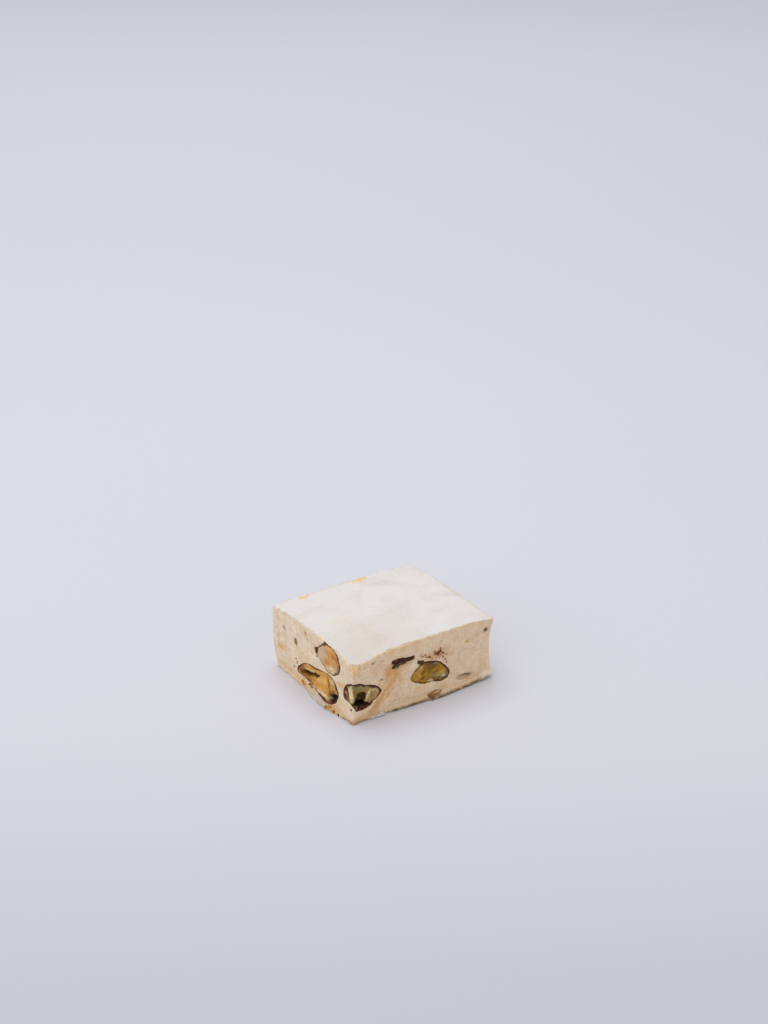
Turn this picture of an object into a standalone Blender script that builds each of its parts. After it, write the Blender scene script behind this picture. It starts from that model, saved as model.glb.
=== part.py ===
# A cut block of soft torrone: nougat full of almonds and pistachios between two sheets of wafer.
# The origin is the middle of the underside, +X runs along the block and +Z is up.
# The cut faces are called left (-X), right (+X), front (-Y) and back (+Y).
# Shapes are worked out in millimetres, and stored in metres.
import math

import bmesh
import bpy
from mathutils import Matrix, Vector

MM = 0.001

# Driving dimensions
BLOCK_LENGTH = 49.0
BLOCK_WIDTH = 42.0
BLOCK_HEIGHT = 20.8
WAFER_THICKNESS = 0.5
GAP = 0.3
CORNER_RADIUS = 0.9
CELL = 3.2
WAFER_CELL = 4.2
NUT_SEGMENTS = 16
NUT_RINGS = 10

# The left side reaches further out than the right, so everything is moved over by this much to
# put the origin under the middle of the whole
OFF_CENTRE = 0.9

# How the soft block has settled, and been drawn out of shape by the knife
TAPER = 0.008
PINCH = 0.010
FOOT_REACH = 9.0
FEET = {"left": (-6.0, 1.9), "front": (6.0, 1.0)}
LIP_RISE = 0.9
CORNER_REACH = 5.0
DROOP_REACH = 7.5

# How far each upright corner droops at the top, flares out at its top and at its foot, and
# swells at half height
CORNERS = {
    (-1, -1): (1.9, 0.0, 0.6, 0.0),
    (1, -1): (0.5, 0.7, 0.7, 0.0),
    (-1, 1): (0.4, 0.7, 0.0, 1.1),
    (1, 1): (1.0, 0.2, 0.1, 0.2),
}

# The wafers stop a little short of the nougat's edge, and the lower one has two loose flaps
TOP_INSET = 0.5
BOTTOM_INSET = 0.8
TOP_CORNER_RADII = {(-1, -1): 4.5, (1, -1): 1.2, (-1, 1): 1.2, (1, 1): 2.5}
FLAPS = {"left": (-3.0, 5.5, 1.8), "front": (-15.0, 2.2, 1.7)}

# Outward and along directions of the cut faces, and how far they lie from the middle
FACES = {
    "left": (Vector((-1, 0, 0)), Vector((0, 1, 0)), BLOCK_LENGTH / 2),
    "right": (Vector((1, 0, 0)), Vector((0, 1, 0)), BLOCK_LENGTH / 2),
    "front": (Vector((0, -1, 0)), Vector((1, 0, 0)), BLOCK_WIDTH / 2),
    "back": (Vector((0, 1, 0)), Vector((1, 0, 0)), BLOCK_WIDTH / 2),
}

# Each nut: its kind, the face that cuts it, its place along that face, its height, how deep its
# middle lies behind the face, its length, width and depth, and its tilt on the face in degrees
NUTS = {
    "almond_left_lower": ("almond", "left", -2.3, 4.8, 0.6, (22.8, 8.4, 8.6), 176),
    "almond_left_upper": ("almond", "left", -7.4, 15.3, 0.4, (13.6, 7.8, 9.0), 190),
    "pistachio_corner": ("pistachio", "front", -23.7, 8.3, 0.6, (17.8, 8.8, 10.6), 0),
    "pistachio_front": ("pistachio", "front", 2.8, 9.1, 0.8, (13.7, 7.2, 8.2), -11),
    "skin_sliver_front": ("skin", "front", -7.2, 15.6, -0.3, (8.6, 2.6, 4.0), 5),
    "almond_chip_front": ("almond", "front", 3.9, 1.8, 0.1, (5.2, 1.5, 2.6), -4),
    "almond_right_upper": ("almond", "right", -2.6, 16.0, 1.0, (18.0, 7.4, 10.6), 8),
    "pistachio_right": ("pistachio", "right", 10.8, 7.6, 0.9, (15.0, 8.0, 8.0), 24),
    "almond_right_lower": ("almond", "right", -9.8, 5.9, 1.6, (13.0, 7.6, 12.0), -18),
    "pistachio_back": ("pistachio", "back", 11.0, 15.3, 1.2, (14.6, 7.6, 8.4), 6),
    "almond_back": ("almond", "back", -8.6, 9.8, 0.8, (21.4, 8.8, 9.0), 160),
    "almond_chip_back": ("almond", "back", 9.5, 5.0, 0.2, (8.0, 3.4, 4.6), 12),
}

# Hollows in the cut nuts and one burst bubble in the nougat, each with what it is cut from
HOLLOWS = {
    "slit_left": ("almond_left_lower", "left", 1.4, 5.7, 0.2, (9.0, 1.5, 4.0), 161),
    "pit_left": ("almond_left_lower", "left", -10.4, 3.8, 0.0, (4.0, 3.0, 4.4), 200),
    "hollow_corner": ("pistachio_corner", "front", -21.8, 6.9, 0.0, (4.8, 5.0, 6.8), 0),
    "slit_right": ("pistachio_right", "right", 10.8, 7.7, 0.0, (7.0, 1.4, 4.0), 24),
    "slit_back": ("almond_back", "back", -9.4, 10.1, 0.0, (11.0, 1.3, 3.6), 160),
    "bubble_front": ("nougat", "front", 14.7, 3.8, -0.5, (5.6, 2.0, 3.0), -2),
}

# How much narrower each kind of nut is at one end than at the other
POINTEDNESS = {"almond": 0.24, "pistachio": 0.08, "skin": 0.1, "hollow": 0.0}

# Base colour (linear red, green, blue) and roughness of each stuff
FINISHES = {
    "nougat": ((0.66, 0.50, 0.33), 0.55),
    "wafer": ((0.80, 0.76, 0.71), 0.85),
    "almond": ((0.56, 0.29, 0.11), 0.50),
    "pistachio": ((0.24, 0.17, 0.04), 0.50),
    "skin": ((0.09, 0.035, 0.018), 0.60),
}


def clear_scene():
    for thing in list(bpy.data.objects):
        bpy.data.objects.remove(thing, do_unlink=True)


def make_collection(name):
    collection = bpy.data.collections.new(name)
    bpy.context.scene.collection.children.link(collection)
    return collection


def make_material(name):
    colour, roughness = FINISHES[name]
    material = bpy.data.materials.new(name)
    material.use_nodes = True
    shader = material.node_tree.nodes["Principled BSDF"]
    shader.inputs["Base Color"].default_value = (*colour, 1)
    shader.inputs["Roughness"].default_value = roughness
    shader.inputs["Metallic"].default_value = 0
    return material


def nearness(x, y, corner, reach):
    # 1 at an upright corner of the block, falling to nothing within a few reaches of it
    away = math.hypot(x - corner[0] * BLOCK_LENGTH / 2, y - corner[1] * BLOCK_WIDTH / 2)
    return math.exp(-(away / reach) ** 2)


def settled(point):
    # where a point of the plain box ends up in the block as it lies
    x, y, z = point
    height = z / BLOCK_HEIGHT
    narrowing = 1 - TAPER * (1 - height) - 4 * PINCH * height * (1 - height)
    moved = Vector((x * narrowing, y * narrowing, z))

    for face, (place, bulge) in FEET.items():
        out, along, distance = FACES[face]
        near_face = max(0, point.dot(out) / distance) ** 3
        offset = (point.dot(along) - place) / FOOT_REACH
        moved += out * bulge * (1 - height) ** 2 * near_face * math.exp(-offset ** 2)

    for corner, (droop, top_flare, foot_flare, swell) in CORNERS.items():
        flare = top_flare * height ** 3 + foot_flare * (1 - height) ** 3
        flare += 4 * swell * height * (1 - height)
        moved += Vector((*corner, 0)) * flare * nearness(x, y, corner, CORNER_REACH)
        moved.z -= height * droop * nearness(x, y, corner, DROOP_REACH)
    moved.z += LIP_RISE * (1 - height) ** 2 * nearness(x, y, (1, -1), CORNER_REACH)
    return moved


def bend_flaps(mesh):
    # push the lower wafer's edge out where a flap sticks out past the nougat
    for face, (place, half_width, reach) in FLAPS.items():
        out, along, distance = FACES[face]
        for vert in mesh.verts:
            near_edge = max(0, vert.co.dot(out) / distance) ** 8
            offset = (vert.co.dot(along) - place) / half_width
            vert.co += out * reach * near_edge * math.exp(-offset ** 4)


def cut_into_cells(mesh, size, low, cell):
    for axis in range(3):
        steps = max(1, round(size[axis] / cell))
        normal = Vector((0, 0, 0))
        normal[axis] = 1
        for step in range(1, steps):
            place = normal * (low[axis] + size[axis] * step / steps)
            geometry = mesh.verts[:] + mesh.edges[:] + mesh.faces[:]
            bmesh.ops.bisect_plane(mesh, geom=geometry, plane_co=place, plane_no=normal)


def round_corners(mesh, radii):
    # rounds each upright edge of the plain box by the radius given for its corner
    for corner, radius in radii.items():
        inward = Vector((-corner[0], -corner[1], 0))
        depths = {edge: sum(vert.co.dot(inward) for vert in edge.verts) for edge in mesh.edges}
        upright = min(depths, key=depths.get)
        bmesh.ops.bevel(mesh, geom=[upright], offset=radius, segments=3, profile=0.5,
                        affect="EDGES", material=-1)


def layer_mesh(name, bottom, top, inset, radii, cell, flaps=False):
    # one layer of the block, from one height to another, as it lies in the settled block
    size = Vector((BLOCK_LENGTH - 2 * inset, BLOCK_WIDTH - 2 * inset, top - bottom))
    mesh = bmesh.new()
    bmesh.ops.create_cube(mesh, size=1)
    bmesh.ops.scale(mesh, vec=size, verts=mesh.verts)
    bmesh.ops.translate(mesh, vec=(0, 0, (bottom + top) / 2), verts=mesh.verts)
    round_corners(mesh, radii)
    cut_into_cells(mesh, size, Vector((-size.x / 2, -size.y / 2, bottom)), cell)
    if flaps:
        bend_flaps(mesh)
    for vert in mesh.verts:
        vert.co = settled(vert.co)
    return stored(name, mesh)


def stored(name, mesh):
    bmesh.ops.scale(mesh, vec=(MM, MM, MM), verts=mesh.verts)
    bmesh.ops.recalc_face_normals(mesh, faces=mesh.faces)
    data = bpy.data.meshes.new(name)
    mesh.to_mesh(data)
    mesh.free()
    return data


def nut_mesh(name, size, pointedness):
    # a kernel lying along X, blunt at one end and drawn in at the other
    mesh = bmesh.new()
    bmesh.ops.create_uvsphere(mesh, u_segments=NUT_SEGMENTS, v_segments=NUT_RINGS, radius=0.5)
    bmesh.ops.rotate(mesh, matrix=Matrix.Rotation(math.radians(90), 3, "Y"), verts=mesh.verts)
    for vert in mesh.verts:
        thickness = 1 - 2 * pointedness * vert.co.x
        vert.co.y *= thickness
        vert.co.z *= thickness
    bmesh.ops.scale(mesh, vec=size, verts=mesh.verts)
    return stored(name, mesh)


def add_nut(name, shape, collection, grown=0.0):
    # a whole nut where it lies, in the face that cuts it; grown makes room all round it
    kind, face, place, height, sunk, size, tilt = shape
    out, along, distance = FACES[face]
    turn = math.radians(tilt)
    up = Vector((0, 0, 1))
    lengthwise = math.cos(turn) * along + math.sin(turn) * up
    crosswise = out.cross(lengthwise)
    middle = along * place + up * height + out * (distance - sunk)
    frame = Matrix((lengthwise, crosswise, out)).transposed()
    full_size = Vector(size) + Vector((2, 2, 2)) * grown
    nut = bpy.data.objects.new(name, nut_mesh(name, full_size, POINTEDNESS[kind]))
    nut.matrix_world = Matrix.Translation(middle * MM) @ frame.to_4x4()
    collection.objects.link(nut)
    return nut


def add_layer(name, mesh, material, collection):
    layer = bpy.data.objects.new(name, mesh)
    layer.data.materials.append(material)
    collection.objects.link(layer)
    return layer


def add_boolean(target, operation, cutter):
    cut = target.modifiers.new(cutter.name, "BOOLEAN")
    cut.operation = operation
    cut.solver = "EXACT"
    cut.object = cutter


def hide_cutter(cutter):
    cutter.hide_render = True
    cutter.display_type = "WIRE"


def build():
    clear_scene()
    parts = make_collection("torrone")
    cutters = make_collection("torrone_cutters")
    materials = {name: make_material(name) for name in FINISHES}
    nougat_bottom = WAFER_THICKNESS + GAP
    nougat_top = BLOCK_HEIGHT - WAFER_THICKNESS - GAP
    even_radii = {corner: CORNER_RADIUS for corner in CORNERS}

    nougat_mesh = layer_mesh("nougat", nougat_bottom, nougat_top, 0, even_radii, CELL)
    nougat = add_layer("nougat", nougat_mesh, materials["nougat"], parts)
    whole_block = add_layer("whole_block", nougat_mesh.copy(), materials["nougat"], cutters)
    hide_cutter(whole_block)

    top_mesh = layer_mesh("wafer_top", BLOCK_HEIGHT - WAFER_THICKNESS, BLOCK_HEIGHT,
                          TOP_INSET, TOP_CORNER_RADII, WAFER_CELL)
    add_layer("wafer_top", top_mesh, materials["wafer"], parts)
    bottom_mesh = layer_mesh("wafer_bottom", 0, WAFER_THICKNESS,
                             BOTTOM_INSET, even_radii, WAFER_CELL, flaps=True)
    add_layer("wafer_bottom", bottom_mesh, materials["wafer"], parts)

    built = {"nougat": nougat}
    for name, shape in NUTS.items():
        nut = add_nut(name, shape, parts)
        nut.data.materials.append(materials[shape[0]])
        add_boolean(nut, "INTERSECT", whole_block)
        socket = add_nut(name + "_socket", shape, cutters, grown=GAP)
        hide_cutter(socket)
        add_boolean(nougat, "DIFFERENCE", socket)
        built[name] = nut

    for name, (owner, *placing) in HOLLOWS.items():
        hollow = add_nut(name, ("hollow", *placing), cutters)
        hide_cutter(hollow)
        add_boolean(built[owner], "DIFFERENCE", hollow)

    for thing in [*parts.objects, *cutters.objects]:
        thing.location.x += OFF_CENTRE * MM


build()
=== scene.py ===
import math

import bmesh
import bpy
import numpy as np
from mathutils import Matrix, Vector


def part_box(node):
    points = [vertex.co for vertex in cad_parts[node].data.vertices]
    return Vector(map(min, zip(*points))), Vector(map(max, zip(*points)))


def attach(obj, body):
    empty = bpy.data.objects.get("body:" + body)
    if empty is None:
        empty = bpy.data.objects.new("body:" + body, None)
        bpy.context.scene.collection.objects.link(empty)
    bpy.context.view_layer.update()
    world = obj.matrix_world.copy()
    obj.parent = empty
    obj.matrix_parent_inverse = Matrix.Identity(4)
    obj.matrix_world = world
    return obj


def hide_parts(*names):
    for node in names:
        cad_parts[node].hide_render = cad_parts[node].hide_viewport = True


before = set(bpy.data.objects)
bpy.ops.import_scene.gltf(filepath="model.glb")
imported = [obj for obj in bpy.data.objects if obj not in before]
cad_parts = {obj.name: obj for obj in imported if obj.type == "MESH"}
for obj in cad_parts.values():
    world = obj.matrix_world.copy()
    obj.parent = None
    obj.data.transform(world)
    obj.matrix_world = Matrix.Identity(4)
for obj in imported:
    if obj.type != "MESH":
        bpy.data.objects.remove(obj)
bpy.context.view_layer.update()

# A cut square of soft torrone: whipped honey nougat with whole almonds and pistachios,
# between two sheets of wafer paper. The lengths are in mm, and the last step of every piece
# turns them into metres. Only the studio's are in metres from the start.

print("torrone: the block's own shape")

block = {
    "length": 49.0,
    "width": 42.0,
    "height": 20.8,
    "cornerRadius": 0.9,
    "turnReach": 12.0,          # from a corner, where the way into the block starts to turn
    "offCentre": 0.9,           # the knife left the block a little longer on its left
    "taper": 0.008,
    "pinch": 0.010,
    "footReach": 9.0,
    "leftFoot": (-6.0, 1.9),    # place along the face, bulge
    "frontFoot": (6.0, 1.0),
    "lipRise": 0.9,
    "cornerReach": 5.0,
    "droopReach": 7.5,
}

# each corner's side of the block, then how far it droops, flares at the top and at the foot,
# and swells at half height
corners = (
    (-1, -1, 1.9, 0.0, 0.6, 0.0),
    (1, -1, 0.5, 0.7, 0.7, 0.0),
    (-1, 1, 0.4, 0.7, 0.0, 1.1),
    (1, 1, 1.0, 0.2, 0.1, 0.2),
)

halfLength = block["length"] / 2
halfWidth = block["width"] / 2
girth = 2 * (block["length"] + block["width"])
random = np.random.default_rng(26)


def toLinear(hexColour):
    channels = [int(hexColour[i:i + 2], 16) / 255 for i in (1, 3, 5)]
    return [c / 12.92 if c <= 0.04045 else ((c + 0.055) / 1.055) ** 2.4 for c in channels]


def softStep(value):
    value = np.clip(value, 0, 1)
    return value * value * (3 - 2 * value)


def lumps(points, size, seed=0):
    # smooth bumps between -1 and 1, about as wide as the given size
    grid = points / size + 31.7 * seed
    cell = np.floor(grid).astype(np.int64)
    part = grid - cell
    part = part * part * (3 - 2 * part)
    total = np.zeros(len(points))
    for corner in np.ndindex(2, 2, 2):
        at = cell + corner
        code = at[:, 0] * 73856093 ^ at[:, 1] * 19349663 ^ at[:, 2] * 83492791
        code = (code + seed * 97561) & 0xffffffff
        code = ((code ^ code >> 15) * 0x2c1b3c6d) & 0xffffffff
        code = ((code ^ code >> 12) * 0x297a2d39) & 0xffffffff
        height = (code ^ code >> 15) % 65536 / 32767.5 - 1
        total += height * np.prod(np.where(corner, part, 1 - part), axis=1)
    return total


def between(value, low, high, fade, fadeHigh=None):
    # 1 between two places, and 0 beyond them, with a soft fade inside each
    return softStep((value - low) / fade) * softStep((high - value) / (fadeHigh or fade))


def turned(u, v, degrees):
    angle = math.radians(degrees)
    return u * math.cos(angle) - v * math.sin(angle), u * math.sin(angle) + v * math.cos(angle)


def onFlat(u, v):
    return np.column_stack([u, v, 0 * u])


def tinted(colours, tint, share):
    share = share[:, None]
    return colours * (1 - share) + np.array(toLinear(tint)) * share


def nearness(x, y, sideX, sideY, reach):
    away = np.hypot(x - sideX * halfLength, y - sideY * halfWidth)
    return np.exp(-(away / reach) ** 2)


def settle(points):
    # the plain block's points, where the soft block really has them
    x, y, z = points.T
    height = z / block["height"]
    narrowing = 1 - block["taper"] * (1 - height) - 4 * block["pinch"] * height * (1 - height)
    moved = np.column_stack([x * narrowing, y * narrowing, z])
    feet = ((0, -x / halfLength, y, block["leftFoot"]), (1, -y / halfWidth, x, block["frontFoot"]))
    for axis, nearFace, along, (place, bulge) in feet:
        spread = np.exp(-((along - place) / block["footReach"]) ** 2)
        moved[:, axis] -= bulge * (1 - height) ** 2 * np.maximum(nearFace, 0) ** 3 * spread
    for sideX, sideY, droop, topFlare, footFlare, belly in corners:
        flare = topFlare * height ** 3 + footFlare * (1 - height) ** 3
        flare = flare + 4 * belly * height * (1 - height)
        flare = flare * nearness(x, y, sideX, sideY, block["cornerReach"])
        moved[:, 0] += sideX * flare
        moved[:, 1] += sideY * flare
        moved[:, 2] -= height * droop * nearness(x, y, sideX, sideY, block["droopReach"])
    lip = nearness(x, y, 1, -1, block["cornerReach"])
    moved[:, 2] += block["lipRise"] * (1 - height) ** 2 * lip
    moved[:, 0] += block["offCentre"]
    return moved


# The four cut faces unroll into one strip. A place on it is its distance from the near
# left corner, which grows to the right as the faces are seen from outside, and its height.
cornerStops = np.array([-girth / 2, -block["width"], 0, block["length"], girth / 2])
cornerTurns = np.radians([-315, -225, -135, -45, 45])
cornerSides = np.array([(1, 1), (-1, 1), (-1, -1), (1, -1), (1, 1)])


def outline(along, radius=block["cornerRadius"]):
    # the plain outline's x and y, and the way out of the block there
    along = (np.asarray(along, float) + girth / 2) % girth - girth / 2
    nearest = np.abs(along[:, None] - cornerStops).argmin(axis=1)
    past = along - cornerStops[nearest]
    turn = cornerTurns[nearest]
    corner = cornerSides[nearest] * (halfLength, halfWidth)
    tangent = turn + np.where(past < 0, -1, 1) * math.pi / 4 + math.pi / 2
    flat = corner + past[:, None] * np.column_stack([np.cos(tangent), np.sin(tangent)])
    inward = np.column_stack([np.cos(turn), np.sin(turn)])
    arc = turn + past / radius * math.pi / 4
    bend = corner - radius * math.sqrt(2) * inward
    bend = bend + radius * np.column_stack([np.cos(arc), np.sin(arc)])
    place = np.where(np.abs(past)[:, None] < radius, bend, flat)
    way = turn + np.clip(past / block["turnReach"], -1, 1) * math.pi / 4
    return place[:, 0], place[:, 1], np.column_stack([np.cos(way), np.sin(way), 0 * way])


def sinking(x, y):
    # how much of its height a place loses to the drooping corners
    drops = [corner[2] * nearness(x, y, corner[0], corner[1], block["droopReach"]) for corner in corners]
    return sum(drops) / block["height"]


def plainWall(along, height, outward):
    x, y, way = outline(along)
    flat = np.column_stack([x, y, height / (1 - sinking(x, y))])
    return flat + way * np.asarray(outward, float).reshape(-1, 1), flat, way


def knifeRelief(flat):
    # the knife drags fine upright lines down the soft face, and leaves it uneven
    lines = lumps(flat * (1, 1, 0.05), 0.6, 1) * 0.02 + lumps(flat * (1, 1, 0.08), 1.6, 2) * 0.035
    uneven = lumps(flat, 5.0, 3) * 0.16 + lumps(flat, 1.7, 4) * 0.06 + lumps(flat, 0.7, 5) * 0.02
    return lines + uneven


def atFace(outward):
    # 1 on a cut face, and less and less inside the block
    return np.exp(np.minimum(outward, 0) / 1.2)


def onWall(along, height, outward):
    points, flat, way = plainWall(along, height, outward)
    return settle(points + way * (knifeRelief(flat) * atFace(outward))[:, None])


def wallPlace(points):
    # the way back: a plain point's distance along the strip, its height and how far in it lies
    x, y, z = points.T
    gaps = np.column_stack([halfLength + x, halfWidth + y, halfLength - x, halfWidth - y])
    nearest = gaps.argmin(axis=1)
    front = x + halfLength
    left = -(y + halfWidth)
    right = block["length"] + y + halfWidth
    back = -girth / 2 + halfLength - x
    along = np.choose(nearest, [left, front, right, back])
    outward = -gaps.min(axis=1)
    radius = block["cornerRadius"]
    for stop, turn, side in list(zip(cornerStops, cornerTurns, cornerSides))[1:]:
        gapX = halfLength - side[0] * x
        gapY = halfWidth - side[1] * y
        inside = (gapX < radius) & (gapY < radius)
        aside = np.column_stack([x, y]) - side * (halfLength - radius, halfWidth - radius)
        angle = np.arctan2(aside[:, 1], aside[:, 0])
        past = (angle - turn + math.pi) % (2 * math.pi) - math.pi
        along = np.where(inside, stop + past / (math.pi / 4) * radius, along)
        outward = np.where(inside, np.hypot(aside[:, 0], aside[:, 1]) - radius, outward)
    base = outline(along)
    return along, z * (1 - sinking(base[0], base[1])), outward, base[2]


# A dab is a stain, a hollow or a ridge on a face. It has a place, a half length and a half
# width, and a tint. Its edge goes from 0.05, crisp, to 1, soft. Then come its turn in degrees,
# how much of the tint it takes, and how far it stands out or, below 0, sinks in.
def dab(u, v, long, wide, tint, edge=0.5, turn=0, amount=1, lift=0):
    return {"at": (u, v), "size": (long, wide), "tint": tint, "edge": edge, "turn": turn,
            "amount": amount, "lift": lift}


def layDabs(u, v, colours, lift, dabs, wander, seed):
    # wander is how far a dab's outline strays, so that none is a clean ellipse
    flat = onFlat(u, v)
    u = u + wander * (lumps(flat, 1.3, seed) + 0.5 * lumps(flat, 0.5, seed + 1))
    v = v + wander * (lumps(flat, 1.3, seed + 2) + 0.5 * lumps(flat, 0.5, seed + 3))
    for one in dabs:
        long, wide = turned(u - one["at"][0], v - one["at"][1], -one["turn"])
        away = np.hypot(long / one["size"][0], wide / one["size"][1])
        weight = softStep((1 + one["edge"] - away) / (2 * one["edge"]))
        colours = tinted(colours, one["tint"], weight * one["amount"])
        lift = lift + weight * one["lift"]
    return colours, lift


def positions(mesh):
    values = np.empty(len(mesh.vertices) * 3)
    mesh.vertices.foreach_get("co", values)
    return values.reshape(-1, 3)


def place(mesh, points):
    mesh.vertices.foreach_set("co", np.asarray(points, float).ravel())
    mesh.update()


def paint(mesh, colours):
    layer = mesh.color_attributes.new("tint", "FLOAT_COLOR", "POINT")
    rgba = np.column_stack([colours, np.ones(len(colours))])
    layer.data.foreach_set("color", np.clip(rgba, 0, 1).ravel())


def toMesh(bm, name):
    mesh = bpy.data.meshes.new(name)
    bm.to_mesh(mesh)
    bm.free()
    return mesh


def turnOutward(mesh):
    # a nut's outline may run either way round, so its faces may start out turned inward
    bm = bmesh.new()
    bm.from_mesh(mesh)
    bmesh.ops.recalc_face_normals(bm, faces=bm.faces)
    bm.to_mesh(mesh)
    bm.free()
    return mesh


def newObject(name, data):
    thing = bpy.data.objects.new(name, data)
    bpy.context.scene.collection.objects.link(thing)
    return thing


def finishPiece(name, mesh, material, slot, *nodes):
    mesh.transform(Matrix.Scale(0.001, 4))
    mesh.shade_smooth()
    mesh.materials.clear()
    mesh.materials.append(material)
    piece = newObject(name, mesh)
    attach(piece, "root")
    if nodes:
        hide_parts(*nodes)
    return piece


def joinMeshes(meshes, name):
    bm = bmesh.new()
    for mesh in meshes:
        bm.from_mesh(mesh)
    joined = toMesh(bm, name)
    for mesh in meshes:
        bpy.data.meshes.remove(mesh)
    return joined


print("torrone: materials")


def addNode(tree, kind, settings=None, links=None):
    new = tree.nodes.new(kind)
    for key, value in (settings or {}).items():
        if isinstance(key, int) or key in new.inputs:
            new.inputs[key].default_value = value
        else:
            setattr(new, key, value)
    for key, source in (links or {}).items():
        tree.links.new(source, new.inputs[key])
    return new


def newMaterial(name, surface):
    material = bpy.data.materials.new(name)
    material.use_nodes = True
    tree = material.node_tree
    tree.nodes.clear()
    shader = addNode(tree, "ShaderNodeBsdfPrincipled", surface)
    addNode(tree, "ShaderNodeOutputMaterial", links={"Surface": shader.outputs["BSDF"]})
    spot = addNode(tree, "ShaderNodeTexCoord")
    return material, tree, shader, spot.outputs["Object"]


def perMm(size):
    return 1000 / size      # a noise texture's scale in metres, for bumps of this size in mm


def stained(tree, spot, colour, size, detail, low, high, most, stain):
    # noise of this size in mm lays a stain over the colour, wherever it rises above low
    noise = addNode(tree, "ShaderNodeTexNoise", {"Scale": perMm(size), "Detail": detail}, {"Vector": spot})
    amount = addNode(tree, "ShaderNodeMapRange", {1: low, 2: high, 3: 0.0, 4: most},
                     {0: noise.outputs["Fac"]})
    mixed = addNode(tree, "ShaderNodeMix", {
        "data_type": "RGBA", "blend_type": "MULTIPLY", 7: (*toLinear(stain), 1)},
        {0: amount.outputs[0], 6: colour})
    return mixed.outputs[2], noise.outputs["Fac"]


def flecked(tree, spot, colour, size, detail, dark, light):
    # finer noise makes the colour darker here and lighter there
    noise = addNode(tree, "ShaderNodeTexNoise", {"Scale": perMm(size), "Detail": detail}, {"Vector": spot})
    shade = addNode(tree, "ShaderNodeMapRange", {1: 0.3, 2: 0.7, 3: dark, 4: light},
                    {0: noise.outputs["Fac"]})
    scaled = addNode(tree, "ShaderNodeVectorMath", {"operation": "SCALE"},
                     {0: colour, "Scale": shade.outputs[0]})
    return scaled.outputs[0], noise.outputs["Fac"]


def dressed(tree, shader, colour, height, strength, depth, under=None):
    # gives the shader its colour, and a relief this many mm deep
    links = {"Height": height, "Normal": under} if under else {"Height": height}
    bump = addNode(tree, "ShaderNodeBump", {"Strength": strength, "Distance": depth * 0.001}, links)
    tree.links.new(colour, shader.inputs["Base Color"])
    tree.links.new(bump.outputs["Normal"], shader.inputs["Normal"])


# Soft nougat: egg white whipped into honey and sugar, cut with a knife. It is a cream foam,
# matt, that lets a little light in, mottled with tan and lined where the knife dragged.
def softNougat():
    material, tree, shader, spot = newMaterial("softNougat", {
        "Roughness": 0.62, "IOR": 1.45, "Specular IOR Level": 0.35,
        "Subsurface Weight": 0.12, "Subsurface Scale": 0.0012,
        "Subsurface Radius": (1.0, 0.75, 0.5)})
    tint = addNode(tree, "ShaderNodeAttribute", {"attribute_name": "tint"})
    drag = addNode(tree, "ShaderNodeMapping", {"Scale": (1, 1, 0.05)}, {"Vector": spot})
    colour = stained(tree, spot, tint.outputs["Color"], size=2.2, detail=4.0,
                     low=0.42, high=0.70, most=0.5, stain="#ecd3ab")[0]
    colour, line = stained(tree, drag.outputs["Vector"], colour, size=0.45, detail=2.0,
                           low=0.5, high=0.75, most=0.14, stain="#dcbf92")
    colour = flecked(tree, spot, colour, size=0.5, detail=2.0, dark=0.92, light=1.11)[0]
    grain = addNode(tree, "ShaderNodeTexNoise", {"Scale": perMm(0.3), "Detail": 3.0}, {"Vector": spot})
    fine = addNode(tree, "ShaderNodeBump", {"Strength": 0.5, "Distance": 0.00006},
                   {"Height": grain.outputs["Fac"]})
    dressed(tree, shader, colour, line, strength=0.35, depth=0.04, under=fine.outputs["Normal"])
    return material


# Wafer paper: potato starch baked to a thin white leaf. It is dead matt and soft white,
# with a faint tooth, and it greys a little where a nut lies close under it.
def waferPaper():
    material, tree, shader, spot = newMaterial("waferPaper", {
        "Roughness": 0.8, "IOR": 1.45, "Specular IOR Level": 0.2,
        "Subsurface Weight": 0.1, "Subsurface Scale": 0.0006,
        "Subsurface Radius": (1.0, 0.9, 0.8)})
    tint = addNode(tree, "ShaderNodeAttribute", {"attribute_name": "tint"})
    colour = stained(tree, spot, tint.outputs["Color"], size=7.0, detail=3.0,
                     low=0.45, high=0.75, most=0.5, stain="#f4ede4")[0]
    colour, tooth = flecked(tree, spot, colour, size=0.6, detail=4.0, dark=0.95, light=1.03)
    dressed(tree, shader, colour, tooth, strength=0.6, depth=0.06)
    return material


# Nut flesh, cut through: an oily, dense kernel. A toasted almond is golden and smooth,
# a pistachio is olive and grainy, and both have a faint satin shine from their oil.
def nutFlesh(name, grainSize, grainDepth, roughness):
    material, tree, shader, spot = newMaterial(name, {
        "Roughness": roughness, "IOR": 1.47, "Specular IOR Level": 0.08,
        "Subsurface Weight": 0.08, "Subsurface Scale": 0.0008,
        "Subsurface Radius": (1.0, 0.6, 0.3)})
    tint = addNode(tree, "ShaderNodeAttribute", {"attribute_name": "tint"})
    colour, grain = flecked(tree, spot, tint.outputs["Color"], size=grainSize, detail=4.0,
                            dark=0.88, light=1.1)
    dressed(tree, shader, colour, grain, strength=0.6, depth=grainDepth)
    return material


# Nut skin: a dry papery husk, dark brown on an almond and purple-brown on a pistachio,
# wrinkled along the kernel, with a dull sheen.
def nutSkin():
    material, tree, shader, spot = newMaterial("nutSkin", {
        "Roughness": 0.55, "IOR": 1.45, "Specular IOR Level": 0.2})
    tint = addNode(tree, "ShaderNodeAttribute", {"attribute_name": "tint"})
    colour, wrinkle = flecked(tree, spot, tint.outputs["Color"], size=0.5, detail=3.0,
                              dark=0.65, light=1.3)
    dressed(tree, shader, colour, wrinkle, strength=0.7, depth=0.08)
    return material


nougatLook = softNougat()
waferLook = waferPaper()
skinLook = nutSkin()


print("torrone: nuts")

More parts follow.
